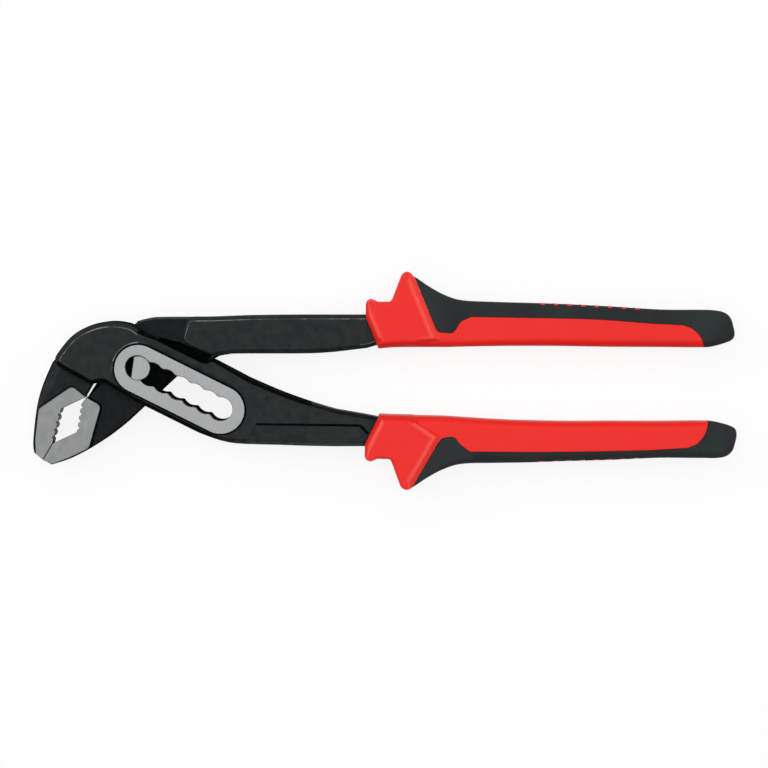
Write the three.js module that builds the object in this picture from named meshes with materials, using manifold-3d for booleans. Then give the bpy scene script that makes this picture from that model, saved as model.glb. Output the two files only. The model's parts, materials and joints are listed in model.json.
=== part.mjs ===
// Box-joint water pump pliers, lying flat with the jaws to the left and the handles to the right.
// Units are millimetres. Plans are drawn in X and Y about the first notch, and Z is measured from
// the mid-plane.
import * as THREE from "three";
import { mergeVertices } from "three/addons/utils/BufferGeometryUtils.js";
import Module from "manifold-3d";

const wasm = await Module();
wasm.setup();

// Slot, notches and pivot pin
const slotAngle = 26.5; // degrees that the slot falls below the handles
const notchCount = 7;
const notchPitch = 5.5;
const notchRadius = 4.2;
const cuspLand = 0.4; // flat crest left between two notches
const pinRest = 0.5; // the closed jaws hold the pin this far past the middle of the first notch
const pinClearance = 0.13; // between the pin and the crests it slides past
const boreClearance = 0.05; // between the pin and the inner lever that turns on it
const pinFlat = 2.0; // pin axis to the flat on its ends
const pinFlatAngle = 172; // degrees, direction that the flat faces
const pinHeadRadius = 4.25;
const pinHeadHeight = 0.6;
const pinHeadGap = 0.15; // under the head, so that it slides over the ground pad
const pinTailRecess = 0.2; // the far end stops short of the face that the tool lies on

// Thicknesses
const jawThickness = 8.6; // both jaws, and the inner lever where it passes through the box
const sideClearance = 0.15; // between the inner lever and each cheek
const cheekThickness = 3.15;
const padHeight = 0.4; // ground pad round the slot, above the forged cheek
const jawPadHeight = 0.3; // ground jaw faces, above the forged jaws
const armThickness = 10.5;
const tangThickness = 7.0;
const forgedChamfer = 1.2; // forged edges, in plan
const forgedChamferDepth = 1.8; // forged edges, through the thickness

// Box of the slotted lever, measured square to the slot
const boxUpperReach = 12.2;
const boxLowerReach = 11.1;
const boxShoulderReach = 14.5; // full width again behind the window
const boxShoulderAt = 22.4; // first notch to the shoulder, along the slot
const boxShoulderRun = 1.6; // length of the step up to the shoulder
const padRadius = 8.4;
const neckRoom = 3.0; // round neck to the front wall of the box window

// Inner lever
const neckRadius = 14.6; // round back of the neck, about the first notch
const neckFrom = 97; // degrees, where the round back leaves the arm
const neckTo = 197; // degrees, where it meets the jaw
const neckEdgeReach = 11.8; // first notch to the straight edge between jaw and arm
const neckEdgeAngle = 43; // degrees

// Jaws
const jawGap = 0.2; // between the closed jaws
const toothCount = 5;
const toothDepth = 0.75;
const toothLean = 0.3; // share of a tooth's pitch taken by its steep side
const jawTip = new THREE.Vector2(-33.85, -33.0);
const mouthFoot = new THREE.Vector2(-30.35, -27.1);
const mouthTop = new THREE.Vector2(-18.5, -10.7);
const fixedMouthDepth = 9.45; // from the mouth's top to the fixed jaw's corner, along the smooth side
const movingMouthDepth = 8.85; // from the mouth's foot to the moving jaw's corner
const mouthAngle = 25.5; // degrees of the smooth sides above the handles' direction

// Grips, in a frame that starts at the collar on the handle's axis, with Y towards the outer edge
const gripFront = 81.3; // first notch to the collar, along the handles
const collarFace = -0.4; // square front of the collar's outer half
const upperGripAxis = 14.5;
const lowerGripAxis = -24.05;
const lowerGripTilt = 1.18; // degrees that the lower handle falls away
const gripThickness = 14.0;
const gripEdge = 3.2; // rounding of the long edges
const fitGap = 0.15; // between pieces that are moulded or pressed together
const sleeveWall = 1.2; // of the core where the cover lies over it
const pegCount = 8;
const pegPitch = 4.8;
const pegStart = 62.3;
const pegRadius = 1.0;
const pegReach = 12.0; // longer than the pegs, which are cut to the grip's outside
const pegProud = 0.25;

// Stamped panel on the slotted lever's arm
const panelDepth = 0.35;

// Sizes that follow
const slotTravel = (notchCount - 1) * notchPitch;
const notchChord = (notchPitch - cuspLand) / 2;
const throatHalf = Math.sqrt(notchRadius ** 2 - notchChord ** 2);
const pinRadius = throatHalf - pinClearance;
const jawHalf = jawThickness / 2;
const windowHalf = jawHalf + sideClearance;
const boxHalf = windowHalf + cheekThickness;
const padFace = boxHalf + padHeight; // the plane that the tool lies on
const guardHalf = padFace;
const armHalf = armThickness / 2;
const tangHalf = tangThickness / 2;
const gripHalf = gripThickness / 2;
const beyond = 40; // reach of a cutter past what it cuts

const point = (x, y) => new THREE.Vector2(x, y);
const points = (...pairs) => pairs.map(([x, y]) => point(x, y));

/** A unit vector turned from +X by an angle in degrees. */
function direction(degrees) {
  const angle = THREE.MathUtils.degToRad(degrees);
  return point(Math.cos(angle), Math.sin(angle));
}

const slotDirection = direction(-slotAngle);

/** A point given along the slot from the first notch, and square to it on the handles' upper side. */
function slotPoint(along, across) {
  return point(
    along * slotDirection.x - across * slotDirection.y,
    along * slotDirection.y + across * slotDirection.x,
  );
}

const lastNotch = slotPoint(slotTravel, 0);
const pinAxis = slotPoint(pinRest, 0);

/** Points on an arc, from one angle to another in degrees. */
function arc(centre, radius, from, to, steps) {
  const at = (i) => direction(from + ((to - from) * i) / steps);
  return Array.from({ length: steps + 1 }, (_, i) => at(i).multiplyScalar(radius).add(centre));
}

/** Points on a smooth curve through the given points. */
const smooth = (through, steps) => new THREE.SplineCurve(through).getSpacedPoints(steps);

/** Moves a line of points sideways: to the left of its direction if the distance is positive. */
function shifted(line, distance) {
  return line.map((p, i) => {
    const before = line[Math.max(i - 1, 0)];
    const after = line[Math.min(i + 1, line.length - 1)];
    const way = after.clone().sub(before).normalize();
    return point(p.x - way.y * distance, p.y + way.x * distance);
  });
}

// Solids

/** A closed geometry as a solid that can be joined and cut. */
function solid(geometry) {
  const bare = geometry.clone();
  bare.deleteAttribute("normal");
  bare.deleteAttribute("uv");
  const merged = mergeVertices(bare, 1e-4);
  const triVerts = new Uint32Array(merged.index.array);
  const vertProperties = new Float32Array(merged.attributes.position.array);
  return new wasm.Manifold(new wasm.Mesh({ numProp: 3, vertProperties, triVerts }));
}

/** A solid as a geometry for a mesh. */
function geometryOf(made) {
  const { vertProperties, triVerts } = made.getMesh();
  const geometry = new THREE.BufferGeometry();
  geometry.setAttribute("position", new THREE.BufferAttribute(new Float32Array(vertProperties), 3));
  geometry.setIndex(new THREE.BufferAttribute(new Uint32Array(triVerts), 1));
  const flat = geometry.toNonIndexed();
  flat.computeVertexNormals();
  return flat;
}

/** A plan outline made solid between two heights, with chamfered edges if a chamfer is given. */
function plate(outline, low, high, chamfer = 0, chamferDepth = 0) {
  const geometry = new THREE.ExtrudeGeometry(new THREE.Shape(outline), {
    depth: high - low - 2 * chamferDepth,
    bevelEnabled: chamfer > 0,
    bevelSize: chamfer,
    bevelOffset: -chamfer,
    bevelThickness: chamferDepth,
    bevelSegments: 1,
    curveSegments: 1,
  });
  geometry.translate(0, 0, low + chamferDepth);
  return solid(geometry);
}

/** A plate of the same thickness above and below the mid-plane. */
const centredPlate = (outline, half, ...chamfer) => plate(outline, -half, half, ...chamfer);

/** A rounded rectangle in the plane of a bar's section, turning from the bar's high edge towards +Z. */
function section(height, half, edge, edgeDepth, steps) {
  const corners = [[1, 1], [-1, 1], [-1, -1], [1, -1]];
  return corners.flatMap(([across, up], quarter) =>
    Array.from({ length: steps + 1 }, (_, i) => {
      const angle = ((quarter + i / steps) * Math.PI) / 2;
      return [
        across * (height / 2 - edge) + edge * Math.cos(angle),
        up * (half - edgeDepth) + edgeDepth * Math.sin(angle),
      ];
    }),
  );
}

/**
 * A bar through a row of sections. Each station has a low and a high edge in plan, half its thickness,
 * and the size of its rounded edges in plan and in depth.
 */
function bar(stations, steps) {
  const positions = [];
  const index = [];
  let size = 0;
  for (const { low, high, half, edge, edgeDepth } of stations) {
    const middle = low.clone().lerp(high, 0.5);
    const up = high.clone().sub(low);
    const height = up.length();
    up.normalize();
    const ring = section(height, half, edge, edgeDepth, steps);
    size = ring.length;
    for (const [across, z] of ring) positions.push(middle.x + up.x * across, middle.y + up.y * across, z);
  }
  const last = (stations.length - 1) * size;
  for (let i = 1; i + 1 < size; i++) {
    index.push(0, i + 1, i);
    index.push(last, last + i, last + i + 1);
  }
  for (let ring = 0; ring < last; ring += size) {
    for (let i = 0; i < size; i++) {
      const next = (i + 1) % size;
      index.push(ring + i, ring + next, ring + size + next);
      index.push(ring + i, ring + size + next, ring + size + i);
    }
  }
  const geometry = new THREE.BufferGeometry();
  geometry.setAttribute("position", new THREE.Float32BufferAttribute(positions, 3));
  geometry.setIndex(index);
  return solid(geometry);
}

/** Joins a list of solids into one. */
const join = (...made) => made.reduce((all, next) => all.add(next));

// Handles: how a grip's own frame lies on its lever

const upperHandle = { front: point(gripFront, upperGripAxis), tilt: 0, outward: 1 };
const lowerHandle = { front: point(gripFront, lowerGripAxis), tilt: -lowerGripTilt, outward: -1 };

/** A point of a grip's frame, in plan on the lever. */
function onHandle(handle, x, y) {
  const turned = point(x, handle.outward * y);
  return turned.rotateAround(point(0, 0), THREE.MathUtils.degToRad(handle.tilt)).add(handle.front);
}

// Tang inside the grip: distance from the collar, inner edge, outer edge and half thickness
const tangStations = [
  [-6, -8.4, 4.2, armHalf],
  [0, -7.5, 4.1, armHalf],
  [6, -6.0, 4.1, (armHalf + tangHalf) / 2],
  [14, -4.3, 4.0, tangHalf],
  [112, -4.4, 3.2, tangHalf],
];
const tangEdge = 1.0;

/** The tang's stations on a lever, in plan, with a share of its thickness taken off. */
function tangOnLever(handle, less = 0) {
  return tangStations.map(([x, inner, outer, half]) => {
    const edges = [onHandle(handle, x, inner), onHandle(handle, x, outer)];
    if (handle.outward < 0) edges.reverse();
    return { low: edges[0], high: edges[1], half: half - less, edge: tangEdge, edgeDepth: tangEdge };
  });
}

/** The space that the tang takes in the grip, grown all round. */
function tangSpace(grow, from) {
  const stations = tangStations.map(([x, inner, outer, half], i) => {
    const at = i === tangStations.length - 1 ? x + grow : x;
    const size = tangEdge + grow / 2;
    return {
      low: point(at, inner - grow),
      high: point(at, outer + grow),
      half: half + grow,
      edge: size,
      edgeDepth: size,
    };
  });
  return bar(stations.slice(from), 1);
}

// Jaw outlines

const jawLine = mouthTop.clone().sub(jawTip).normalize();
const jawSquare = point(jawLine.y, -jawLine.x); // from the fixed jaw towards the moving one

/** A point of the closing line, moved back to one jaw's side of the gap. */
const onJaw = (p, side) => p.clone().addScaledVector(jawSquare, (side * jawGap) / 2);

/** A jaw's side of the mouth, from the top of the closing line to its foot: one side smooth, one toothed. */
function mouthSide(side) {
  const smoothWay = direction(mouthAngle);
  const top = onJaw(mouthTop, side);
  const foot = onJaw(mouthFoot, side);
  const corner = side < 0
    ? top.clone().addScaledVector(smoothWay, -fixedMouthDepth)
    : foot.clone().addScaledVector(smoothWay, movingMouthDepth);
  const [from, to] = side < 0 ? [corner, foot] : [top, corner];
  const step = to.clone().sub(from).divideScalar(toothCount);
  const into = point(-step.y, step.x).normalize().multiplyScalar(side * toothDepth);
  const teeth = [];
  for (let i = 0; i < toothCount; i++) {
    const crest = from.clone().addScaledVector(step, i);
    const root = crest.clone().addScaledVector(step, side < 0 ? 1 - toothLean : toothLean).add(into);
    teeth.push(crest, root);
  }
  return side < 0 ? [top, ...teeth, foot] : [...teeth, corner, foot];
}

// End walls of the window in the box, which the inner lever swings and slides between

const slitTop = point(-16.0, -6.4); // where the two jaws part, beside the neck
const windowFront = [
  onJaw(mouthTop, -1),
  slitTop,
  point(-(neckRadius + neckRoom), 8.5),
  point(-11.0, 20.0),
];
const windowBack = points([33, 2.2], [22.5, 1.5], [17.5, -3.8], [17.5, -beyond]).map((p) => p.add(lastNotch));

/** The opening between the cheeks, as a solid. */
function windowSpace() {
  const outline = [
    point(mouthTop.x, -beyond),
    ...windowFront,
    point(windowFront.at(-1).x, beyond),
    point(windowBack[0].x, beyond),
    ...windowBack,
  ];
  return centredPlate(outline, windowHalf);
}

// Slotted lever: fixed jaw, box, arm and tang

const crown = points([-30.6, 1.8], [-23.7, 10.6], [-16.7, 14.8], [-9.6, 16.3], [-3.0, 15.5], [1.0, 13.3]);
const fixedJawBack = points([-36.8, -30.4], [-37.2, -25.9], [-36.0, -14.2], [-34.0, -6.3], [-30.5, 1.5]);
const boxHeel = points([21.7, -23.2], [28.9, -25.8], [36.0, -27.1], [50.0, -27.55]);
const armUpperEdge = points([39.6, -3.9], [50.0, -8.4], [60.0, -12.0], [70.0, -14.8]);
const armLowerEdge = points([39.6, -27.2], [50.0, -27.55], [60.0, -27.95], [70.0, -28.2]);
const armTaper = [boxHalf, boxHalf, (boxHalf + armHalf) / 2, armHalf];

/** The forged head and box between the jaw and the arm. */
function boxBody() {
  const outline = [
    ...smooth(crown, 14),
    slotPoint(1.5, boxUpperReach),
    slotPoint(boxShoulderAt - boxShoulderRun, boxUpperReach),
    slotPoint(boxShoulderAt, boxShoulderReach),
    armUpperEdge[0],
    armUpperEdge[1],
    ...smooth(boxHeel, 6).reverse(),
    slotPoint(24.5, -boxLowerReach),
    slotPoint(5.0, -boxLowerReach),
    point(-12.6, -4.9),
    point(-15.7, -6.5),
  ];
  return centredPlate(outline, boxHalf, forgedChamfer, forgedChamferDepth);
}

/** A round-ended band along the slot, as an outline. */
function slotBand(radius) {
  return [
    ...arc(point(0, 0), radius, 90 - slotAngle, 270 - slotAngle, 12),
    ...arc(lastNotch, radius, -90 - slotAngle, 90 - slotAngle, 12),
  ];
}

/** The slot's outline, a row of notches down each side. */
function slotOutline() {
  const rise = THREE.MathUtils.radToDeg(Math.asin(throatHalf / notchRadius));
  const upper = [];
  const lower = [];
  for (let i = 0; i < notchCount; i++) {
    const centre = slotPoint(i * notchPitch, 0);
    const first = i === 0 ? 180 : 180 - rise;
    const last = i === notchCount - 1 ? 0 : rise;
    upper.push(...arc(centre, notchRadius, first - slotAngle, last - slotAngle, 8));
    lower.push(...arc(centre, notchRadius, -first - slotAngle, -last - slotAngle, 8));
  }
  return [...upper, ...lower.reverse().slice(1, -1)];
}

/** The fixed jaw, from the tip up into the head. */
function fixedJaw() {
  const outline = [
    onJaw(jawTip, -1),
    ...smooth(fixedJawBack, 8),
    crown[1],
    ...windowFront.slice(1, 3).reverse(),
    ...mouthSide(-1),
  ];
  return centredPlate(outline, jawHalf);
}

// Ground faces of the closed jaws: one six-sided area that the closing line divides
const groundShoulder = point(-35.0, -14.6);
const groundPeak = point(-23.4, -6.9);
const groundCorner = point(-13.2, -13.7);
const groundHeel = point(-17.8, -28.5);

/** The raised ground face of one jaw. */
function jawPad(outline) {
  return centredPlate(outline, jawHalf + jawPadHeight);
}

/** The ground face of the fixed jaw. */
function fixedJawPad() {
  return jawPad([
    onJaw(jawTip, -1),
    point(-36.3, -30.8),
    point(-36.6, -26.0),
    groundShoulder,
    groundPeak,
    point(-19.3, -10.3),
    ...mouthSide(-1),
  ]);
}

/** The ground face of the moving jaw. */
function movingJawPad() {
  return jawPad([
    onJaw(jawTip, 1),
    ...mouthSide(1).reverse(),
    point(-17.4, -11.4),
    groundCorner,
    groundHeel,
    point(-24.3, -32.0),
    point(-30.7, -34.4),
  ]);
}

/** The arm's stations from the box to the grip, with a share of its thickness taken off. */
function armStations(less = 0) {
  const high = smooth(armUpperEdge, 6);
  const low = smooth(armLowerEdge, 6);
  const taper = smooth(armTaper.map((half, i) => point(i, half)), 6);
  return high.map((p, i) => ({
    low: low[i],
    high: p,
    half: taper[i].y - less,
    edge: forgedChamfer,
    edgeDepth: forgedChamferDepth,
  }));
}

/** The stamped panel, which follows both faces of the tapering arm. */
function panelCut() {
  const outline = points(
    [41.5, -20.4],
    [78.9, -20.9],
    [81.4, -23.2],
    [78.9, -25.6],
    [42.5, -25.0],
    [40.5, -23.2],
  );
  const stations = [...armStations(panelDepth), ...tangOnLever(lowerHandle, panelDepth)];
  return centredPlate(outline, beyond).subtract(bar(stations, 1));
}

/** The whole slotted lever, with the window and the slot cut through its box. */
function slottedLever() {
  const pads = centredPlate(slotBand(padRadius), padFace);
  const arm = bar([...armStations(), ...tangOnLever(lowerHandle)], 1);
  const body = join(boxBody(), arm).subtract(panelCut());
  const hollow = join(body, pads).subtract(windowSpace()).subtract(centredPlate(slotOutline(), beyond));
  return join(hollow, fixedJaw(), fixedJawPad());
}

// Inner lever: moving jaw, neck through the box, arm and tang

const movingJawBack = points([-30.8, -34.7], [-24.1, -32.5], [-17.0, -28.9], [-9.9, -24.3], [-4.0, -19.7]);
const armTop = points([0.0, 16.6], [3.9, 17.6], [8.0, 17.9], [25.0, 17.9], [40.0, 18.4]);
const innerArmUpperEdge = points([19.0, 17.9], [26.0, 17.9], [40.0, 18.4], [57.0, 18.6], [70.0, 18.6]);
const innerArmLowerEdge = points([16.4, 9.6], [24.4, 6.2], [36.0, 5.0], [60.0, 5.0], [70.0, 5.6]);
const stepRun = 1.0; // length of the slope from the neck up to the full arm

/** A point on the neck's straight edge, measured along it from the foot of the first notch's middle. */
function neckEdge(along) {
  const way = direction(neckEdgeAngle);
  return point(way.y, -way.x).multiplyScalar(neckEdgeReach).addScaledVector(way, along);
}

/** The flat part of the inner lever: jaw, neck and the root of the arm. */
function innerPlate() {
  const outline = [
    onJaw(jawTip, 1),
    ...smooth(movingJawBack, 10),
    neckEdge(15.0),
    ...points([25.8, 1.75], [27.4, 3.1], [29.0, 4.0], [36.0, 5.2], [40.0, 6.5]),
    ...smooth(armTop, 10).reverse(),
    ...arc(point(0, 0), neckRadius, neckFrom, neckTo, 12),
    point(-14.6, -5.7),
    ...mouthSide(1),
  ];
  return centredPlate(outline, jawHalf);
}

/** A round rod on the pin's axis, through a length about the mid-plane. */
function rodOnPin(radius, length) {
  const rod = new THREE.CylinderGeometry(radius, radius, length, 48).rotateX(Math.PI / 2);
  return solid(rod.translate(pinAxis.x, pinAxis.y, 0));
}

/** The whole inner lever, with the bore for the pin. */
function innerLever() {
  const high = smooth(innerArmUpperEdge, 8);
  const low = smooth(innerArmLowerEdge, 8);
  const arm = high.map((p, i) => ({
    low: low[i],
    high: p,
    half: armHalf,
    edge: forgedChamfer,
    edgeDepth: forgedChamferDepth,
  }));
  const foot = { ...arm[0], half: jawHalf };
  const step = point(stepRun, 0);
  arm[0] = { ...arm[0], low: low[0].clone().add(step), high: high[0].clone().add(step) };
  const steel = join(innerPlate(), movingJawPad(), bar([foot, ...arm, ...tangOnLever(upperHandle)], 1));
  return steel.subtract(rodOnPin(pinRadius + boreClearance, 2 * beyond));
}

// Pivot pin: a round middle for the inner lever, flatted ends for the notches, and a flatted head

/** A circle on the pin's axis with one flat, as an outline. */
function flattedCircle(radius) {
  const spread = THREE.MathUtils.radToDeg(Math.acos(pinFlat / radius));
  return arc(pinAxis, radius, pinFlatAngle + spread, pinFlatAngle + 360 - spread, 36);
}

/** The whole pin. */
function pivotPin() {
  const head = padFace + pinHeadGap;
  const eased = pinHeadHeight / 3;
  return join(
    plate(flattedCircle(pinRadius), pinTailRecess - padFace, head + pinHeadHeight / 2),
    plate(flattedCircle(pinHeadRadius), head, head + pinHeadHeight, eased, eased),
    rodOnPin(pinRadius, jawThickness),
  );
}

// Grips: a hard core that sleeves the tang, and a soft cover over its outer edge

// Stations along the grip: inner edge, outer edge and half thickness
const gripStations = [
  [[4.3, -7.9], [-3.0, 9.6], guardHalf - 1.4],
  [[6.2, -7.9], [-0.4, 9.8], guardHalf],
  [[9.5, -7.7], [4.4, 8.9], guardHalf],
  [[13.5, -7.5], [8.6, 9.0], guardHalf],
  [[17.0, -7.4], [10.3, 13.4], guardHalf],
  [[20.5, -7.4], [11.9, 17.7], guardHalf],
  [[22.8, -7.4], [13.2, 19.3], guardHalf],
  [[25.0, -7.4], [14.8, 19.4], guardHalf],
  [[28.5, -7.4], [17.6, 17.3], gripHalf],
  [[32.5, -7.3], [22.0, 14.4], gripHalf],
  [[37.0, -7.2], [27.5, 11.5], gripHalf],
  [[42.0, -7.1], [34.0, 9.5], gripHalf],
  [[50.0, -7.0], [46.0, 8.9], gripHalf],
  [[66.0, -7.0], [66.0, 8.3], gripHalf],
  [[85.0, -7.3], [85.0, 7.2], gripHalf],
  [[104.5, -7.4], [104.5, 5.9], gripHalf],
  [[119.0, -7.5], [119.0, 5.8], gripHalf],
  [[123.0, -7.1], [124.0, 5.6], gripHalf],
  [[126.5, -6.2], [127.5, 4.7], gripHalf - 0.6],
  [[129.3, -5.2], [129.7, 2.6], gripHalf - 2.0],
  [[130.6, -4.0], [130.7, 0.2], gripHalf - 4.2],
];

/** The grip's whole outside, as one solid. */
function gripForm() {
  const stations = gripStations.map(([low, high, half]) => {
    const edge = Math.min(gripEdge, 0.45 * (high[1] - low[1]));
    const edgeDepth = Math.min(gripEdge, 0.8 * half);
    return { low: point(...low), high: point(...high), half, edge, edgeDepth };
  });
  return bar(stations, 3).trimByPlane([1, 0, 0], collarFace);
}

/**
 * The line between the core's side panel and the cover: down behind the guard, along the panel, and in
 * before the end. The cover runs on the line's outer side.
 */
function coverLine(guard, foot, panel, end) {
  const past = end.at(-1).clone().add(point(0.4, -6));
  return [...guard, ...smooth(foot, 6), ...panel, ...smooth(end, 5), past];
}

const upperCoverLine = coverLine(
  points([14.6, 23.0], [17.1, 17.0], [24.6, -1.2], [25.6, -2.1]),
  points([30.1, -2.4], [31.4, -1.2], [33.4, 1.7], [37.0, 3.4]),
  points([60.0, 3.0], [80.6, 2.5], [100.9, 1.0]),
  points([112.5, 0.5], [116.4, -1.1], [118.9, -3.8], [120.0, -7.6]),
);
const lowerCoverLine = coverLine(
  points([14.0, 23.0], [17.1, 17.2], [25.2, 2.4], [26.6, 0.6]),
  points([30.0, -0.1], [31.4, 0.5], [33.3, 2.7], [36.6, 5.1]),
  points([60.0, 4.8], [80.6, 4.2], [100.9, 3.3]),
  points([114.0, 2.3], [117.7, 0.6], [120.3, -3.0], [121.7, -7.4]),
);

/** The part of a grip that the cover takes, through its whole thickness, moved in from the line. */
function coverSpace(line, inset) {
  const past = gripStations.at(-1)[1][0] + beyond / 2;
  const corners = points([past, -beyond / 2], [past, beyond], [line[0].x, beyond]);
  return centredPlate([...shifted(line, inset), ...corners], beyond);
}

/** Pegs of the core that show through the cover's outer edge. */
function pegs(grow, form) {
  return Array.from({ length: pegCount }, (_, i) => {
    const peg = new THREE.CylinderGeometry(pegRadius + grow, pegRadius + grow, pegReach, 12);
    const foot = tangStations.at(-1)[2];
    return solid(peg.translate(pegStart + i * pegPitch, foot + pegReach / 2, 0)).intersect(form);
  });
}

/** The hard core: what the cover leaves of the grip, the sleeve round the tang, and the pegs. */
function gripCore(form, line) {
  const shown = form.subtract(coverSpace(line, -fitGap / 2));
  const sleeve = tangSpace(sleeveWall, 1).intersect(form);
  const proud = form.translate([0, pegProud, 0]);
  return join(shown, sleeve, ...pegs(0, proud)).subtract(tangSpace(fitGap, 0));
}

/** The soft cover, hollow for the sleeve and holed for the pegs. */
function gripCover(form, line) {
  const under = tangSpace(sleeveWall + fitGap, 1);
  const tall = form.translate([0, 2 * pegProud, 0]);
  return pegs(fitGap, tall).reduce(
    (cover, hole) => cover.subtract(hole),
    form.intersect(coverSpace(line, fitGap / 2)).subtract(under),
  );
}

// Assembly

const forgedSteel = new THREE.MeshStandardMaterial({ color: 0x24282a, roughness: 0.5, metalness: 0.6 });
const groundSteel = new THREE.MeshStandardMaterial({ color: 0xa8aaab, roughness: 0.35, metalness: 1.0 });
const redPlastic = new THREE.MeshStandardMaterial({ color: 0xee3430, roughness: 0.4, metalness: 0.0 });
const blackRubber = new THREE.MeshStandardMaterial({ color: 0x2a2e2f, roughness: 0.8, metalness: 0.0 });

/** A solid as a named piece. */
function named(name, made, material) {
  const mesh = new THREE.Mesh(geometryOf(made), material);
  mesh.name = name;
  return mesh;
}

/** A grip's two pieces, set on their handle. */
function grip(name, handle, form, line) {
  const group = new THREE.Group();
  group.add(named(`${name}_grip_core`, gripCore(form, line), redPlastic));
  group.add(named(`${name}_grip_cover`, gripCover(form, line), blackRubber));
  const turn = handle.outward < 0 ? Math.PI : 0;
  group.rotation.set(turn, 0, THREE.MathUtils.degToRad(handle.tilt), "ZYX");
  group.position.set(handle.front.x, handle.front.y, 0);
  return group;
}

const form = gripForm();
const pliers = new THREE.Group();
pliers.add(named("slotted_lever", slottedLever(), forgedSteel));
pliers.add(named("inner_lever", innerLever(), forgedSteel));
pliers.add(named("pivot_pin", pivotPin(), groundSteel));
pliers.add(grip("upper", upperHandle, form, upperCoverLine));
pliers.add(grip("lower", lowerHandle, form, lowerCoverLine));

// The origin is the middle of the tool's outline, on the surface that it lies on.
const box = new THREE.Box3().setFromObject(pliers, true);
const middle = box.getCenter(new THREE.Vector3());
pliers.position.set(-middle.x, -middle.y, -box.min.z);

const placed = new THREE.Group();
placed.add(pliers);

export default placed;
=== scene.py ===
"""Box-joint water pump pliers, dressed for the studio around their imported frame.

Plans are in millimetres about the slot's first notch, and Z is measured from the tool's mid-plane.
Each finished mesh is then moved into the frame, in metres.
"""

from __future__ import annotations

import json
import logging
import math
from abc import ABC, abstractmethod
from collections.abc import Callable, Mapping, Sequence
from dataclasses import dataclass, field
from enum import Enum
from functools import partial

import bmesh
import bpy
import numpy as np
from mathutils import Matrix, Vector
from mathutils.geometry import delaunay_2d_cdt

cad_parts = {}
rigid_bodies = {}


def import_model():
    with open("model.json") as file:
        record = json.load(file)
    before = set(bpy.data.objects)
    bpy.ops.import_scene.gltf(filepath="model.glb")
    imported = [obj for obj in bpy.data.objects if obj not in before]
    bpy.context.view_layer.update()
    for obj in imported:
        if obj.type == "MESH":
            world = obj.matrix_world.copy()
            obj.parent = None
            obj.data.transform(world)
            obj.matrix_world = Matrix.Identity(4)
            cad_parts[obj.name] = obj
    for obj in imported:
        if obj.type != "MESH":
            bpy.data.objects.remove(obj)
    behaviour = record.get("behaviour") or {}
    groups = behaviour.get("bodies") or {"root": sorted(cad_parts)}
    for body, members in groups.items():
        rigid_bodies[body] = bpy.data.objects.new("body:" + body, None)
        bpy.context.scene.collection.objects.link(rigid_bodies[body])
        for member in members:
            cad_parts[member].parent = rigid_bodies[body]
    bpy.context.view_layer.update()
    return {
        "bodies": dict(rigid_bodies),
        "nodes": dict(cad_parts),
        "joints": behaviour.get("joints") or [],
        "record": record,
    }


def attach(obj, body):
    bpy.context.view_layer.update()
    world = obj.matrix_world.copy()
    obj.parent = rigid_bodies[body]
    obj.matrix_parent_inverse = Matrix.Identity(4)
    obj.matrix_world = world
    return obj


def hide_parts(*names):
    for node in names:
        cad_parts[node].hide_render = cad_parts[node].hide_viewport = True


LOG = logging.getLogger("pliers")
MM = 0.001
# Lengths below which two points count as one: in a plan, in a face's triangles and in a finished mesh.
TOUCHING = 1e-3
MESHED = 1e-6
WELDED = 2e-4
# Stands for the rise of a level side, which has none.
NO_RISE = 1e-9
# A loop that turns by more has a corner, whose rounding takes less than half of the way to the next.
CORNER_TURN = math.radians(20)
CORNER_ROOM = 0.48
# Least divisor in a mitre, which keeps it short at a sharp corner.
MITRE_LEAST = 0.35
# Share of a face's spacing that the points inside keep from its border.
BORDER_CLEAR = 0.6
# Height and side of an even triangle in a circle of radius 1.
TRIANGLE_HEIGHT = 1.5
TRIANGLE_SIDE = math.sqrt(3)
# Degrees between two faces above which their edge stays sharp.
STEEL_CREASE = 28.0
GRIP_CREASE = 32.0
# Places of the two colours and of the result among a Mix node's sockets.
MIX_LOW, MIX_HIGH, MIX_RESULT = 6, 7, 2

Pair = tuple[float, float]
Triple = tuple[float, float, float]
# Heights for rows of plan points, and places in the frame for points of a plan.
Height = Callable[[np.ndarray], np.ndarray]
Placing = Callable[[np.ndarray], np.ndarray]


class Finish(Enum):
    """The tool's surface finishes, with darker and lighter copies that paint shade and light on it."""

    FORGED = "forged_black"
    # A darker copy of the forged black, which paints shade.
    HALF_SHADE = "forged_dull"
    # A darker copy still, which paints deeper shade in recesses and below the box.
    PAINTED_SHADE = "forged_recess"
    # A lighter copy, which paints light and highlights.
    PAINTED_LIGHT = "forged_sheen"
    # Black scale, laid also along edges, walls and recesses as painted shade.
    SCALE_AND_SHADE = "forging_scale"
    # A rubbed edge, laid as a painted highlight line where edges face the light.
    WORN_HIGHLIGHT = "worn_edge"
    GROUND = "ground_bright"
    FACED = "ground_jaw"
    RED = "red_moulding"
    # Paler copies of the red, which paint half light on lit slopes and highlights on ridges.
    RED_HALF_LIGHT = "red_shoulder"
    RED_HIGHLIGHT = "red_ridge"
    RUBBER = "black_cover"


class Work(Enum):
    """What one solid does to another."""

    JOIN = "UNION"
    CUT = "DIFFERENCE"
    KEEP = "INTERSECT"


class Side(Enum):
    """The two jaws, by the side of the closing line that they lie on."""

    FIXED = -1
    MOVING = 1


# Plans


def plan(*rows: Sequence[float]) -> np.ndarray:
    """Rows of numbers, x and y first."""
    return np.array(rows, float)


def turned(point: Sequence, degrees: float) -> np.ndarray:
    """Plan coordinates turned about the origin.

    Args:
        point: The x and y, each a number or a row of numbers.
        degrees: How far, anticlockwise.

    Returns:
        The turned x and y.
    """
    x, y = point
    cos, sin = math.cos(math.radians(degrees)), math.sin(math.radians(degrees))
    return np.array([x * cos - y * sin, x * sin + y * cos])


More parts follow.
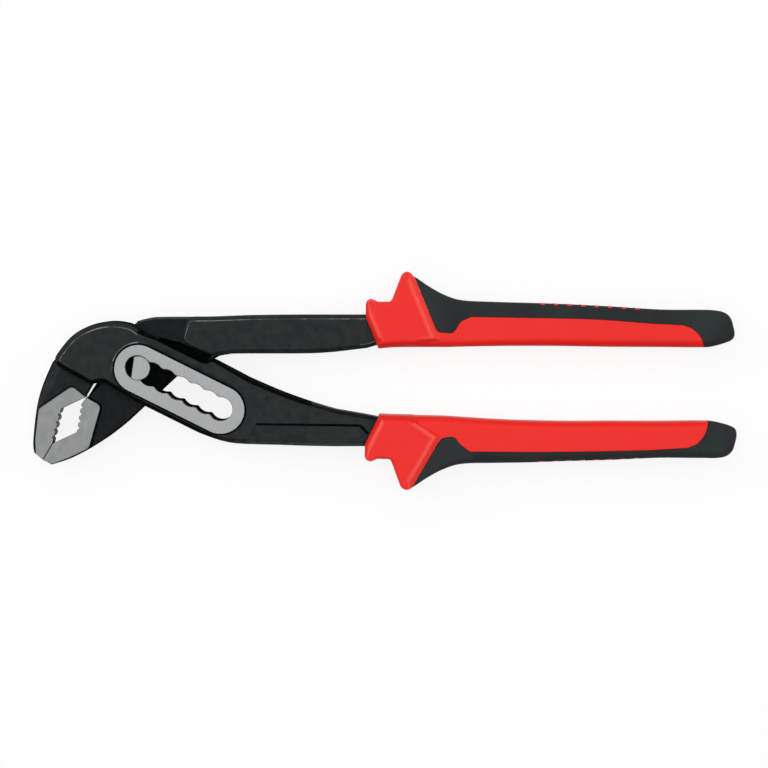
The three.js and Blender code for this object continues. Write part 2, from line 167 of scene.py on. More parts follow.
def heading(start: Sequence[float], stop: Sequence[float]) -> np.ndarray:
    """Direction from one plan point to another."""
    way = np.subtract(stop, start)
    return way / np.linalg.norm(way)


def left_of(way: np.ndarray) -> np.ndarray:
    """Direction square to another, to its left."""
    return np.array([-way[1], way[0]])


def arc(centre: Sequence[float], radius: float, start: float, stop: float, steps: int) -> np.ndarray:
    """Points on an arc, from one angle to another in degrees."""
    angles = np.radians(np.linspace(start, stop, steps + 1))
    return np.asarray(centre) + radius * np.column_stack([np.cos(angles), np.sin(angles)])


def circle(centre: Sequence[float], radius: float, count: int) -> np.ndarray:
    """A number of points round a circle."""
    return arc(centre, radius, 0, 360 - 360 / count, count - 1)


def smooth(through: np.ndarray, steps: int) -> np.ndarray:
    """Points on a smooth curve through the given rows.

    Args:
        through: Rows that the curve passes, of any width.
        steps: Number of equal steps in the curve's own measure.

    Returns:
        One row more than there are steps.
    """
    ends = np.vstack([through[:1], through, through[-1:]])
    spans = len(through) - 1
    rows = []
    for at in np.linspace(0, spans, steps + 1):
        first = min(int(at), spans - 1)
        t = at - first
        a, b, c, d = ends[first : first + 4]
        rows.append(b + 0.5 * t * (c - a + t * (2 * a - 5 * b + 4 * c - d + t * (3 * b - a - 3 * c + d))))
    return np.array(rows)


def bends(loop: np.ndarray) -> tuple[np.ndarray, np.ndarray]:
    """The lengths and turns of a closed loop.

    Args:
        loop: Rows of the loop, x and y first.

    Returns:
        The length of the side that follows each row, and the angle that the loop turns by at each row.
    """
    sides = (np.roll(loop, -1, 0) - loop)[:, :2]
    lengths = np.linalg.norm(sides, axis=1)
    ways = sides / lengths[:, None]
    return lengths, np.arccos(np.clip(np.sum(ways * np.roll(ways, 1, 0), 1), -1, 1))


def rounded(loop: np.ndarray, radius: Sequence[float] | float, steps: int = 5) -> np.ndarray:
    """A closed loop with its sharp corners rounded.

    Args:
        loop: Rows of the loop, x and y first.
        radius: Size of the rounding, once or for each row, less where two corners are close.
        steps: Steps in each rounded corner.

    Returns:
        The loop, with other rows at its corners.
    """
    lengths, turns = bends(loop)
    marks = np.append(0.0, np.cumsum(lengths))
    total = marks[-1]
    closed = np.vstack([loop, loop[:1]])
    radii = np.broadcast_to(radius, len(loop))
    corners = [i for i in range(len(loop)) if turns[i] > CORNER_TURN and radii[i] > 0]
    reach = {}
    for before, here, after in zip(corners[-1:] + corners, corners, corners[1:] + corners[:1]):
        room = min((marks[here] - marks[before]) % total, (marks[after] - marks[here]) % total)
        reach[here] = min(radii[here] * math.tan(turns[here] / 2), CORNER_ROOM * (room or total))

    def along(mark: float) -> np.ndarray:
        """The loop's row at a length from its start."""
        return np.array([np.interp(mark % total, marks, column) for column in closed.T])

    rows = []
    shares = np.linspace(0, 1, steps + 1)
    for i, here in enumerate(loop):
        if i in reach:
            start, stop = along(marks[i] - reach[i]), along(marks[i] + reach[i])
            rows += [(1 - t) ** 2 * start + 2 * t * (1 - t) * here + t**2 * stop for t in shares]
            continue
        gaps = [
            abs((marks[i] - marks[corner] + total / 2) % total - total / 2) - far
            for corner, far in reach.items()
        ]
        if min(gaps, default=1.0) > TOUCHING:
            rows.append(here)
    return np.array(rows)


def spread(loop: np.ndarray, longest: float, inset: float = 0.0) -> np.ndarray:
    """A closed loop without doubled points, whose long sides are divided.

    Args:
        loop: Rows of the loop, x and y first. A third number is an inset of the point's own.
        longest: Greatest length of a side.
        inset: How far the loop will be moved in. No side is divided nearer to a corner than that takes.

    Returns:
        The loop, with its rows in the same direction.
    """
    loop = loop[np.linalg.norm((np.roll(loop, -1, 0) - loop)[:, :2], axis=1) > TOUCHING]
    sides = np.roll(loop, -1, 0) - loop
    lengths, turns = bends(loop)
    room = (loop[:, 2] if loop.shape[1] > 2 else inset) * np.tan(turns / 2)
    rows = []
    for i, (here, side, length) in enumerate(zip(loop, sides, lengths)):
        count = max(1, math.ceil(length / longest))
        shares = [j / count for j in range(1, count)]
        ends = room[i], length - room[(i + 1) % len(loop)]
        rows += [here, *(here + side * share for share in shares if ends[0] < share * length < ends[1])]
    return np.array(rows)


def facing_left(loop: np.ndarray, hole: bool = False) -> np.ndarray:
    """A closed loop, run so that the material lies to its left.

    Args:
        loop: Rows of the loop, x and y first.
        hole: Whether the material is outside.

    Returns:
        The loop as it is, or from its end.
    """
    x, y = loop[:, 0], loop[:, 1]
    area = np.sum(x * np.roll(y, -1) - y * np.roll(x, -1))
    return loop[::-1] if (area < 0) != hole else loop


def offset(loop: np.ndarray, distance: np.ndarray | float) -> np.ndarray:
    """A closed loop moved to its left, corners kept.

    Args:
        loop: Rows of x and y.
        distance: How far, once or for each row.

    Returns:
        The moved loop.
    """
    along = np.roll(loop, -1, 0) - loop
    along /= np.linalg.norm(along, axis=1)[:, None]
    square = np.column_stack([-along[:, 1], along[:, 0]])
    both = square + np.roll(square, 1, 0)
    mitre = both / np.maximum(np.sum(both * both, 1) / 2, MITRE_LEAST)[:, None]
    return loop + mitre * np.broadcast_to(distance, len(loop))[:, None]


def edged(points: np.ndarray, inset: float, drop: float) -> np.ndarray:
    """Rows of x and y with the width and the height of an edge added."""
    return np.column_stack([points[:, :2], np.full(len(points), inset), np.full(len(points), drop)])


def inside(points: np.ndarray, loop: np.ndarray) -> np.ndarray:
    """Whether points lie inside a closed loop.

    Args:
        points: Rows of x and y.
        loop: Rows of the loop.

    Returns:
        True or False for each point.
    """
    x, y = points[:, :1], points[:, 1:2]
    x1, y1 = loop[:, 0], loop[:, 1]
    x2, y2 = np.roll(x1, -1), np.roll(y1, -1)
    rise = np.where(y1 == y2, NO_RISE, y2 - y1)
    crossed = ((y1 > y) != (y2 > y)) & (x < (x2 - x1) * (y - y1) / rise + x1)
    return np.sum(crossed, 1) % 2 == 1


def between_loops(points: np.ndarray, loops: Sequence[np.ndarray]) -> np.ndarray:
    """Whether points lie inside the first of some loops and outside the others, which are its holes."""
    return np.sum([inside(points, loop) for loop in loops], 0) == 1


def level(height: float) -> Height:
    """A face at one height."""
    return lambda points: np.full(len(points), height)


def tapered(knots: np.ndarray, grow: float = 0.0) -> Height:
    """A face whose height follows rows of x and height."""
    return lambda points: np.interp(points[:, 0], knots[:, 0], knots[:, 1]) + grow


# Solids


@dataclass(frozen=True)
class Edge:
    """How a face turns down into a wall.

    The rows hold an inset and a drop as shares of the edge's size, from the wall to the face, and each
    band between two rows has a finish.
    """

    inset: float
    drop: float
    rows: tuple[Pair, ...]
    bands: tuple[Finish, ...]
    wall: Finish


def chamfer(
    inset: float,
    drop: float,
    face: Finish,
    facet: Finish | None = None,
    line: Finish | None = None,
    wall: Finish | None = None,
) -> Edge:
    """A chamfer with eased corners.

    Args:
        inset: Width of the chamfer in plan.
        drop: Its height.
        face: Finish of the face above it.
        facet: Finish of the chamfer, or else the face's.
        line: Finish of its upper corner, or else the face's.
        wall: Finish of the wall below it, or else the chamfer's.

    Returns:
        The edge.
    """
    facet = facet or face
    rows = ((0.0, 1.0), (0.13, 0.62), (0.78, 0.10), (0.94, 0.02), (1.0, 0.0))
    return Edge(inset, drop, rows, (facet, facet, line or face, face), wall or facet)


@dataclass
class Rim:
    """A closed loop that bounds a face. Rows of four give an inset and a drop for each point."""

    loop: np.ndarray
    edge: Edge
    hole: bool = False

    def rows(self, face: Height, spacing: float) -> list[np.ndarray]:
        """The rim's loops in space, from the wall's top to the face.

        Args:
            face: Height of the face.
            spacing: Longest side of the loops.

        Returns:
            One array of points for each row of the edge.
        """
        inset, drop = self.edge.inset, self.edge.drop
        loop = facing_left(spread(self.loop, spacing, inset), self.hole)
        if loop.shape[1] == 4:
            inset, drop = loop[:, 2], loop[:, 3]
        made = []
        for across, down in self.edge.rows:
            flat = offset(loop[:, :2], inset * across)
            made.append(np.column_stack([flat, face(flat) - drop * down]))
        return made


def in_scene(name: str, data: bpy.types.ID) -> bpy.types.Object:
    """A new object, put in the scene.

    Args:
        name: The object's name.
        data: Its mesh, lamp or camera.

    Returns:
        The object.
    """
    thing = bpy.data.objects.new(name, data)
    bpy.context.scene.collection.objects.link(thing)
    return thing


class Solid:
    """A closed mesh in the making."""

    def __init__(self, palette: Sequence[Finish]) -> None:
        """Starts an empty solid.

        Args:
            palette: Finishes that it may show.
        """
        self.palette = list(palette)
        self.shape = bmesh.new()
        self.thing: bpy.types.Object | None = None

    def _ring(self, points: np.ndarray) -> list[bmesh.types.BMVert]:
        """Adds a row of points."""
        return [self.shape.verts.new(point) for point in points]

    def _face(self, corners: Sequence[bmesh.types.BMVert], finish: Finish) -> None:
        """Adds a face."""
        self.shape.faces.new(corners).material_index = self.palette.index(finish)

    def _band(self, low: list, high: list, finish: Finish) -> None:
        """Joins two rings of as many points."""
        for corners in zip(low, low[1:] + low[:1], high[1:] + high[:1], high):
            self._face(corners, finish)

    def _cover(self, rings: Sequence[list], face: Height, spacing: float, finish: Finish) -> None:
        """Fills the area between an outer ring and its holes with even triangles.

        Args:
            rings: The outer ring and the rings of its holes.
            face: Height of the face.
            spacing: Distance between the points inside.
            finish: The face's finish.
        """
        loops = [np.array([vert.co[:2] for vert in ring]) for ring in rings]
        low, high = loops[0].min(0), loops[0].max(0)
        across, up = (np.arange(low[i] + spacing / 2, high[i], spacing) for i in (0, 1))
        grid = np.array([(x, y) for y in up for x in across]).reshape(-1, 2)
        gaps = np.linalg.norm(grid[:, None] - np.vstack(loops)[None], axis=2).min(1)
        grid = grid[(gaps > BORDER_CLEAR * spacing) & between_loops(grid, loops)]
        sides, start = [], 0
        for loop in loops:
            sides += [(start + i, start + (i + 1) % len(loop)) for i in range(len(loop))]
            start += len(loop)
        verts = [vert for ring in rings for vert in ring]
        verts += self._ring(np.column_stack([grid, face(grid)]))
        flat = [Vector(vert.co[:2]) for vert in verts]
        points, _, triangles, origins, _, _ = delaunay_2d_cdt(flat, sides, [], 0, MESHED)
        crossings = [tuple(point) for point, origin in zip(points, origins) if not origin]
        if crossings:
            raise ValueError(f"the border of a face crosses itself near {crossings}")
        middles = np.array([[points[i] for i in triangle] for triangle in triangles]).mean(1)
        for triangle in np.array(triangles)[between_loops(middles, loops)]:
            self._face([verts[origins[i][0]] for i in triangle], finish)

    def relief(self, rims: Sequence[Rim], face: Height, finish: Finish, spacing: float = 2.5) -> Solid:
        """Makes a plate that is the same above and below the mid-plane.

        Args:
            rims: The outer rim and the rims of its holes.
            face: Height of the upper face.
            finish: Finish of both faces.
            spacing: Distance between the points of the faces.

        Returns:
            The solid.
        """
        tops, bottoms = [], []
        for rim in rims:
            rows = rim.rows(face, spacing)
            upper = [self._ring(row) for row in rows]
            lower = [self._ring(row * (1, 1, -1)) for row in rows]
            self._band(lower[0], upper[0], rim.edge.wall)
            for i, band in enumerate(rim.edge.bands):
                self._band(upper[i], upper[i + 1], band)
                self._band(lower[i + 1], lower[i], band)
            tops.append(upper[-1])
            bottoms.append(lower[-1])
        self._cover(tops, face, spacing, finish)
        self._cover(bottoms, lambda points: -face(points), spacing, finish)
        return self._settled()

    def tower(self, levels: Sequence[tuple[np.ndarray, float]], bands: Sequence[Finish]) -> Solid:
        """Makes a stack of loops with as many points, each at a height, closed at both ends.

        Args:
            levels: Loops and heights, from the lowest.
            bands: Finish of the lower face, of each band and of the upper face.

        Returns:
            The solid.
        """
        rings = [self._ring(np.column_stack([loop[:, :2], level(z)(loop)])) for loop, z in levels]
        for low, high, band in zip(rings, rings[1:], bands[1:]):
            self._band(low, high, band)
        self._face(rings[0][::-1], bands[0])
        self._face(rings[-1], bands[-1])
        return self._settled()

    def prism(self, loop: np.ndarray, low: float, high: float, finish: Finish) -> Solid:
        """Makes a straight prism over a loop, from one height to another."""
        return self.tower([(loop, low), (loop, high)], [finish] * 3)

    def loft(self, rings: Sequence[np.ndarray], finish: Finish) -> Solid:
        """Makes a bar through a row of closed sections.

        Args:
            rings: Points of the sections, as many in each.
            finish: The bar's finish.

        Returns:
            The solid.
        """
        made = [self._ring(ring) for ring in rings]
        for low, high in zip(made, made[1:]):
            self._band(low, high, finish)
        for ring in (made[0], made[-1]):
            self._face(ring, finish)
        return self._settled()

    def _settled(self) -> Solid:
        """Turns the faces outwards and puts the mesh in the scene.

        Returns:
            This solid.
        """
        bmesh.ops.recalc_face_normals(self.shape, faces=self.shape.faces[:])
        mesh = bpy.data.meshes.new("solid")
        self.shape.to_mesh(mesh)
        self.shape.free()
        self._fill_slots(mesh)
        return self.hold(mesh)

    def _fill_slots(self, mesh: bpy.types.Mesh) -> None:
        """Gives a mesh the palette's materials."""
        for finish in self.palette:
            mesh.materials.append(bpy.data.materials[finish.value])

    def hold(self, mesh: bpy.types.Mesh) -> Solid:
        """Takes a mesh as this solid's."""
        self.thing = in_scene("solid", mesh)
        return self

    def painted(self, palette: Sequence[Finish], finish: Finish) -> Solid:
        """Gives the solid a palette and every face one finish of it.

        Args:
            palette: The finishes.
            finish: The faces' finish.

        Returns:
            This solid.
        """
        self.palette = list(palette)
        mesh = self.thing.data
        mesh.materials.clear()
        self._fill_slots(mesh)
        mesh.polygons.foreach_set("material_index", [self.palette.index(finish)] * len(mesh.polygons))
        return self

    def repainted(self, old: Finish, new: Finish, where: Callable[[Vector], bool]) -> Solid:
        """Gives faces of one finish another where they lie in a place.

        Args:
            old: The finish that they have.
            new: The finish that they get.
            where: Whether a face's middle is in the place.

        Returns:
            This solid.
        """
        first, second = self.palette.index(old), self.palette.index(new)
        for face in self.thing.data.polygons:
            if face.material_index == first and where(face.center):
                face.material_index = second
        return self

    def copy(self) -> Solid:
        """Another solid of the same shape."""
        return Solid(self.palette).hold(self.thing.data.copy())

    def upside_down(self) -> Solid:
        """Turns the solid over through the mid-plane.

        Returns:
            This solid.
        """
        self.thing.data.transform(Matrix.Scale(-1, 4, (0, 0, 1)))
        self.thing.data.flip_normals()
        return self

    def drop(self) -> None:
        """Removes the solid."""
        mesh = self.thing.data
        bpy.data.objects.remove(self.thing)
        bpy.data.meshes.remove(mesh)

    def apply(self) -> None:
        """Takes what the modifiers give in place of the mesh, and removes them."""
        old = self.thing.data
        graph = bpy.context.evaluated_depsgraph_get()
        made = bpy.data.meshes.new_from_object(self.thing.evaluated_get(graph))
        self.thing.modifiers.clear()
        self.thing.data = made
        bpy.data.meshes.remove(old)

    def work(self, how: Work, *others: Solid) -> Solid:
        """Joins with other solids, is cut by them or keeps what it shares with them, and uses them up.

        Args:
            how: What the others do.
            others: The other solids.

        Returns:
            This solid.
        """
        for other in others:
            modifier = self.thing.modifiers.new("work", "BOOLEAN")
            modifier.operation = how.value
            modifier.solver = "MANIFOLD"
            modifier.object = other.thing
            self.apply()
            other.drop()
        return self

    def finished(self, name: str, place: Placing, crease: float) -> bpy.types.Object:
        """Moves the mesh to its place in the frame and sets its shading.

        Args:
            name: The piece's name.
            place: Gives points in the frame, in metres, for points in millimetres.
            crease: Degrees between two faces above which their edge stays sharp.

        Returns:
            The finished object, at the origin.
        """
        shape = bmesh.new()
        shape.from_mesh(self.thing.data)
        bmesh.ops.remove_doubles(shape, verts=shape.verts[:], dist=WELDED)
        bmesh.ops.dissolve_degenerate(shape, edges=shape.edges[:], dist=WELDED)
        placed = place(np.array([vert.co for vert in shape.verts]))
        for vert, point in zip(shape.verts, placed):
            vert.co = point
        bmesh.ops.recalc_face_normals(shape, faces=shape.faces[:])
        shape.to_mesh(self.thing.data)
        shape.free()
        self.thing.data.shade_smooth()
        self.thing.data.set_sharp_from_angle(angle=math.radians(crease))
        weights = self.thing.modifiers.new("weights", "WEIGHTED_NORMAL")
        weights.keep_sharp = True
        self.apply()
        self.thing.name = name
        self.thing.data.name = name
        return self.thing


class RowTree:
    """A geometry tree that sets a prism at each step of a straight row."""

    INPUTS: Mapping[str, str] = {
        "Count": "NodeSocketInt",
        "Start": "NodeSocketVector",
        "Step": "NodeSocketVector",
        "Sides": "NodeSocketInt",
        "Radius": "NodeSocketFloat",
        "Length": "NodeSocketFloat",
        "Turn": "NodeSocketVector",
        "Stretch": "NodeSocketVector",
        "Material": "NodeSocketMaterial",
    }

    def __init__(self) -> None:
        """Builds the tree."""
        self.tree = bpy.data.node_groups.new("row_of_prisms", "GeometryNodeTree")
        face = self.tree.interface
        self.names = {
            name: face.new_socket(name, in_out="INPUT", socket_type=kind).identifier
            for name, kind in self.INPUTS.items()
        }
        face.new_socket("Geometry", in_out="OUTPUT", socket_type="NodeSocketGeometry")
        self.given = self.tree.nodes.new("NodeGroupInput")
        row = self._node("MeshLine", {"Count": "Count", "Start Location": "Start", "Offset": "Step"})
        prism = self._node("MeshCylinder", {"Vertices": "Sides", "Radius": "Radius", "Depth": "Length"})
        placed = self._node("InstanceOnPoints", {"Rotation": "Turn", "Scale": "Stretch"})
        real = self._node("RealizeInstances", {})
        dressed = self._node("SetMaterial", {"Material": "Material"})
        out = self.tree.nodes.new("NodeGroupOutput")
        ends = ((row, placed, "Points"), (prism, placed, "Instance"), (placed, real, "Geometry"))
        for source, target, socket in (*ends, (real, dressed, "Geometry"), (dressed, out, "Geometry")):
            self.tree.links.new(source.outputs[0], target.inputs[socket])

    def _node(self, kind: str, sockets: Mapping[str, str]) -> bpy.types.Node:
        """Adds a geometry node.

        Args:
            kind: The end of its type's name.
            sockets: The tree's input for each socket that one feeds.

        Returns:
            The node.
        """
        node = self.tree.nodes.new(f"GeometryNode{kind}")
        for socket, name in sockets.items():
            self.tree.links.new(self.given.outputs[name], node.inputs[socket])
        return node

    def solid(self, palette: Sequence[Finish], finish: Finish, **values: object) -> Solid:
        """Makes one row.

        Args:
            palette: Finishes of the solid that the row works on.
            finish: The prisms' finish.
            values: The tree's inputs, apart from the material.

        Returns:
            The row as one solid of separate prisms.
        """
        made = Solid([finish]).hold(bpy.data.meshes.new("row"))
        modifier = made.thing.modifiers.new("row", "NODES")
        modifier.node_group = self.tree
        for name, value in values.items():
            modifier[self.names[name]] = value
        modifier[self.names["Material"]] = bpy.data.materials[finish.value]
        made.apply()
        return made.painted(palette, finish)


# Shaders


class Value:
    """A shader socket that takes part in arithmetic."""

    def __init__(self, shader: Shader, socket: bpy.types.NodeSocket) -> None:
        """Wraps an output socket."""
        self.shader = shader
        self.socket = socket

    def _math(self, operation: str, first: Value | float, second: Value | float) -> Value:
        """Adds one Math node."""
        return self.shader.node("Math", {"operation": operation}, {0: first, 1: second})

    def __add__(self, other: Value | float) -> Value:
        """Sum."""
        return self._math("ADD", self, other)

    def __radd__(self, other: float) -> Value:
        """Sum, from the right."""
        return self._math("ADD", other, self)

    def __sub__(self, other: Value | float) -> Value:
        """Difference."""
        return self._math("SUBTRACT", self, other)

    def __rsub__(self, other: float) -> Value:
        """Difference, from the right."""
        return self._math("SUBTRACT", other, self)

    def __mul__(self, other: Value | float) -> Value:
        """Product."""
        return self._math("MULTIPLY", self, other)

    def __rmul__(self, other: float) -> Value:
        """Product, from the right."""
        return self._math("MULTIPLY", other, self)

    def between(self, low: float, high: float) -> Value:
        """The value from 0 at a low mark to 1 at a high mark, eased."""
        sockets = {"Value": self, "From Min": low, "From Max": high}
        return self.shader.node("MapRange", {"interpolation_type": "SMOOTHSTEP"}, sockets)


class Shader:
    """One material's node tree."""

    def __init__(self, name: str) -> None:
        """Starts a material.

        Args:
            name: The material's name.
        """
        self.material = bpy.data.materials.new(name)
        self.material.use_nodes = True
        self.tree = self.material.node_tree
        self.tree.nodes.clear()
        self.place = self.node("TexCoord", output="Object")

    def node(
        self,
        kind: str,
        settings: Mapping[str, object] | None = None,
        sockets: Mapping[str | int, object] | None = None,
        output: str | int = 0,
    ) -> Value:
        """Adds a shader node.

        Args:
            kind: The end of its type's name.
            settings: Its properties, set before its sockets.
            sockets: Values or links of its input sockets.
            output: The output socket that is wanted.

        Returns:
            That output socket.
        """
        node = self.tree.nodes.new(f"ShaderNode{kind}")
        for name, setting in (settings or {}).items():
            setattr(node, name, setting)
        for name, given in (sockets or {}).items():
            if isinstance(given, Value):
                self.tree.links.new(given.socket, node.inputs[name])
            else:
                node.inputs[name].default_value = given
        return Value(self, node.outputs[output])

    def blend(self, low: Triple, high: Triple, share: Value) -> Value:
        """A colour between two colours."""
        sockets = {"Factor": share, MIX_LOW: (*low, 1.0), MIX_HIGH: (*high, 1.0)}
        return self.node("Mix", {"data_type": "RGBA"}, sockets, MIX_RESULT)

    def bump(self, height: Value, depth: float, before: Value | None = None) -> Value:
        """A surface moved by a height.

        Args:
            height: The height.
            depth: How far a height of 1 moves the surface, in millimetres.
            before: Another bump that this one is added to.

        Returns:
            The moved surface's normal.
        """
        sockets: dict[str | int, object] = {"Height": height, "Distance": depth * MM, "Strength": 1.0}
        if before is not None:
            sockets["Normal"] = before
        return self.node("Bump", None, sockets)

    def ended(self, surface: Value) -> bpy.types.Material:
        """Ends the tree in a shader.

        Args:
            surface: The shader.

        Returns:
            The material.
        """
        out = self.tree.nodes.new("ShaderNodeOutputMaterial")
        self.tree.links.new(surface.socket, out.inputs["Surface"])
        return self.material


@dataclass(frozen=True)
class Layer:
    """Noise in the object's place, as one layer of a finish.

    The size is that of its features, in millimetres, and the detail is the number of finer layers. The span
    is the part of its values that is spread from 0 to 1. It can be longer along X, and turned about Z.
    """

    size: float
    detail: float
    span: Pair | None = None
    longer: float = 1.0
    turn: float = 0.0

    def on(self, shader: Shader) -> Value:
        """Adds the layer to a material.

        Args:
            shader: The material's tree.

        Returns:
            Values about one half, or from 0 to 1 where there is a span.
        """
        turn = (0, 0, math.radians(-self.turn))
        scale = [1 / (self.size * MM * longer) for longer in (self.longer, 1, 1)]
        first = shader.node("Mapping", None, {"Vector": shader.place, "Rotation": turn})
        sized = shader.node("Mapping", None, {"Vector": first, "Scale": scale})
        noise = shader.node("TexNoise", None, {"Vector": sized, "Scale": 1.0, "Detail": self.detail})
        return noise.between(*self.span) if self.span else noise


class Recipe(ABC):
    """A finish that ends in one shader."""

    @abstractmethod
    def sockets(self, shader: Shader) -> dict[str | int, object]:
        """The values and links of the shader's sockets."""

    def material(self, finish: Finish) -> bpy.types.Material:
        """Makes the material of a finish."""
        shader = Shader(finish.value)
        return shader.ended(shader.node("BsdfPrincipled", None, self.sockets(shader)))


@dataclass(frozen=True)
class ForgedBlack(Recipe):
    """Blackened forging: a fine sandy skin with cloudy patches and small pits."""

    cold: Triple = (0.0060, 0.0088, 0.0105)
    warm: Triple = (0.0195, 0.0250, 0.0235)
    specular: float = 0.14
    clouds: Layer = Layer(14.0, 4, (0.30, 0.72))
    blotches: Layer = Layer(3.0, 3, (0.35, 0.65))
    grain: Layer = Layer(0.55, 3)
    pits: Layer = Layer(1.7, 2, (0.62, 0.74))
    warmth: Triple = (0.35, 0.40, 0.25)
    roughness: Triple = (0.46, 0.16, 0.05)
    grain_depth: float = 0.035
    pit_depth: float = 0.10

    def sockets(self, shader: Shader) -> dict[str | int, object]:
        """The finish's sockets. Clouds, blotches and grain warm it, and clouds and grain roughen it.

        Args:
            shader: The material's tree.

        Returns:
            Values and links.
        """
        clouds, blotches = self.clouds.on(shader), self.blotches.on(shader)
        grain, pits = self.grain.on(shader), self.pits.on(shader)
        by_clouds, by_blotches, by_grain = self.warmth
        least, in_clouds, in_grain = self.roughness
        warmth = clouds * by_clouds + blotches * by_blotches + grain * by_grain
        skin = shader.bump(grain, self.grain_depth)
        return {
            "Base Color": shader.blend(self.cold, self.warm, warmth),
            "Roughness": least + clouds * in_clouds + grain * in_grain,
            "Specular IOR Level": self.specular,
            "Normal": shader.bump(1 - pits, self.pit_depth, skin),
        }


@dataclass(frozen=True)
class ScaleAndPaintedShade(Recipe):
    """Deep black scale where the forging isn't dressed, laid also as painted shade on edges, walls and
    recesses.
    """

    dark: Triple = (0.0008, 0.0011, 0.0014)
    light: Triple = (0.0048, 0.0058, 0.0060)
    flakes: Layer = Layer(1.3, 4, (0.38, 0.78))
    grain: Layer = Layer(0.5, 3)
    roughness: Pair = (0.66, 0.16)
    specular: float = 0.03
    flake_share: float = 0.6
    depth: float = 0.05

    def sockets(self, shader: Shader) -> dict[str | int, object]:
        """The finish's sockets. The grain roughens it.

        Args:
            shader: The material's tree.

        Returns:
            Values and links.
        """
        flakes, grain = self.flakes.on(shader), self.grain.on(shader)
        least, in_grain = self.roughness
        return {
            "Base Color": shader.blend(self.dark, self.light, flakes),
            "Roughness": least + grain * in_grain,
            "Specular IOR Level": self.specular,
            "Normal": shader.bump(grain + flakes * self.flake_share, self.depth),
        }


@dataclass(frozen=True)
class WornHighlitEdge(Recipe):
    """A rubbed forged edge with bare steel here and there, laid as a painted highlight line on lit edges."""

    black: Triple = (0.018, 0.021, 0.021)
    steel: Triple = (0.220, 0.232, 0.232)
    rubbed: Layer = Layer(9.0, 3, (0.30, 0.66))
    specks: Layer = Layer(0.9, 3)
    bareness: Triple = (-0.28, 0.65, 0.7)
    metallic: float = 0.4
    roughness: Pair = (0.52, -0.10)
    specular: float = 0.30
    depth: float = 0.03

    def sockets(self, shader: Shader) -> dict[str | int, object]:
        """The finish's sockets. Rubbed places and specks are bare, and bare steel is smoother.

        Args:
            shader: The material's tree.

        Returns:
            Values and links.
        """
        rubbed, specks = self.rubbed.on(shader), self.specks.on(shader)
        least, where_rubbed, in_specks = self.bareness
        bare = (least + rubbed * where_rubbed + specks * in_specks).between(0.0, 1.0)
        rough, where_bare = self.roughness
        return {
            "Base Color": shader.blend(self.black, self.steel, bare),
            "Metallic": bare * self.metallic,
            "Roughness": rough + bare * where_bare,
            "Specular IOR Level": self.specular,
            "Normal": shader.bump(specks, self.depth),
        }


@dataclass(frozen=True)
class GroundSteel(Recipe):
    """Steel ground flat: fine lines one way, a few deeper scores and a mottle."""

    colour: Triple
    pale: Triple
    mottle: Layer
    turn: float
    line: float = 0.16
    line_length: float = 60.0
    score: float = 0.64
    score_turn: float = 4.0
    score_span: Pair = (0.55, 0.75)
    paleness: Pair = (0.4, 0.6)
    roughness: tuple[float, float, float, float] = (0.38, 0.10, 0.08, 0.04)
    score_share: float = 0.5
    depth: float = 0.004

    def sockets(self, shader: Shader) -> dict[str | int, object]:
        """The finish's sockets. Lines and mottle make it paler and rougher, and scores smoother.

        Args:
            shader: The material's tree.

        Returns:
            Values and links.
        """
        score_turn = self.turn + self.score_turn
        lines = Layer(self.line, 2, None, self.line_length, self.turn).on(shader)
        scores = Layer(self.score, 1, self.score_span, self.line_length, score_turn).on(shader)
        mottle = self.mottle.on(shader)
        by_lines, by_mottle = self.paleness
        least, in_lines, in_mottle, in_scores = self.roughness
        return {
            "Base Color": shader.blend(self.colour, self.pale, lines * by_lines + mottle * by_mottle),
            "Metallic": 1.0,
            "Roughness": least + lines * in_lines + mottle * in_mottle - scores * in_scores,
            "Normal": shader.bump(lines - scores * self.score_share, self.depth),
        }


@dataclass(frozen=True)
class RedMoulding(Recipe):
    """Hard moulded plastic, satin, with a spark-eroded skin. Paler copies of it paint light on its slopes
    and ridges.
    """

    colour: Triple
    pale: Triple
    roughness: float
    specular: float
    skin: Layer = Layer(0.28, 2)
    flow: Layer = Layer(22.0, 2, (0.25, 0.75), longer=3.0)
    rougher: Pair = (0.08, 0.06)
    depth: float = 0.010

    def sockets(self, shader: Shader) -> dict[str | int, object]:
        """The finish's sockets. The flow and the skin roughen it.

        Args:
            shader: The material's tree.

        Returns:
            Values and links.
        """
        skin, flow = self.skin.on(shader), self.flow.on(shader)
        in_flow, in_skin = self.rougher
        return {
            "Base Color": shader.blend(self.colour, self.pale, flow),
            "Roughness": self.roughness + flow * in_flow + skin * in_skin,
            "Specular IOR Level": self.specular,
            "Normal": shader.bump(skin, self.depth),
        }


@dataclass(frozen=True)
class BlackCover(Recipe):
    """Soft moulded cover, matt, with a fine stipple and a faint bloom."""

    dark: Triple = (0.0170, 0.0205, 0.0215)
    bloom: Triple = (0.0310, 0.0365, 0.0380)
    stipple: Layer = Layer(0.42, 2)
    patches: Layer = Layer(18.0, 3, (0.3, 0.7))
    blooming: Pair = (0.6, 0.4)
    roughness: Triple = (0.70, 0.10, 0.08)
    specular: float = 0.08
    depth: float = 0.030

    def sockets(self, shader: Shader) -> dict[str | int, object]:
        """The finish's sockets. Patches and stipple bloom, and roughen it.

        Args:
            shader: The material's tree.

        Returns:
            Values and links.
        """
        stipple, patches = self.stipple.on(shader), self.patches.on(shader)
        by_patches, by_stipple = self.blooming
        least, in_patches, in_stipple = self.roughness
        return {
            "Base Color": shader.blend(self.dark, self.bloom, patches * by_patches + stipple * by_stipple),
            "Roughness": least + patches * in_patches + stipple * in_stipple,
            "Specular IOR Level": self.specular,
            "Normal": shader.bump(stipple, self.depth),
        }


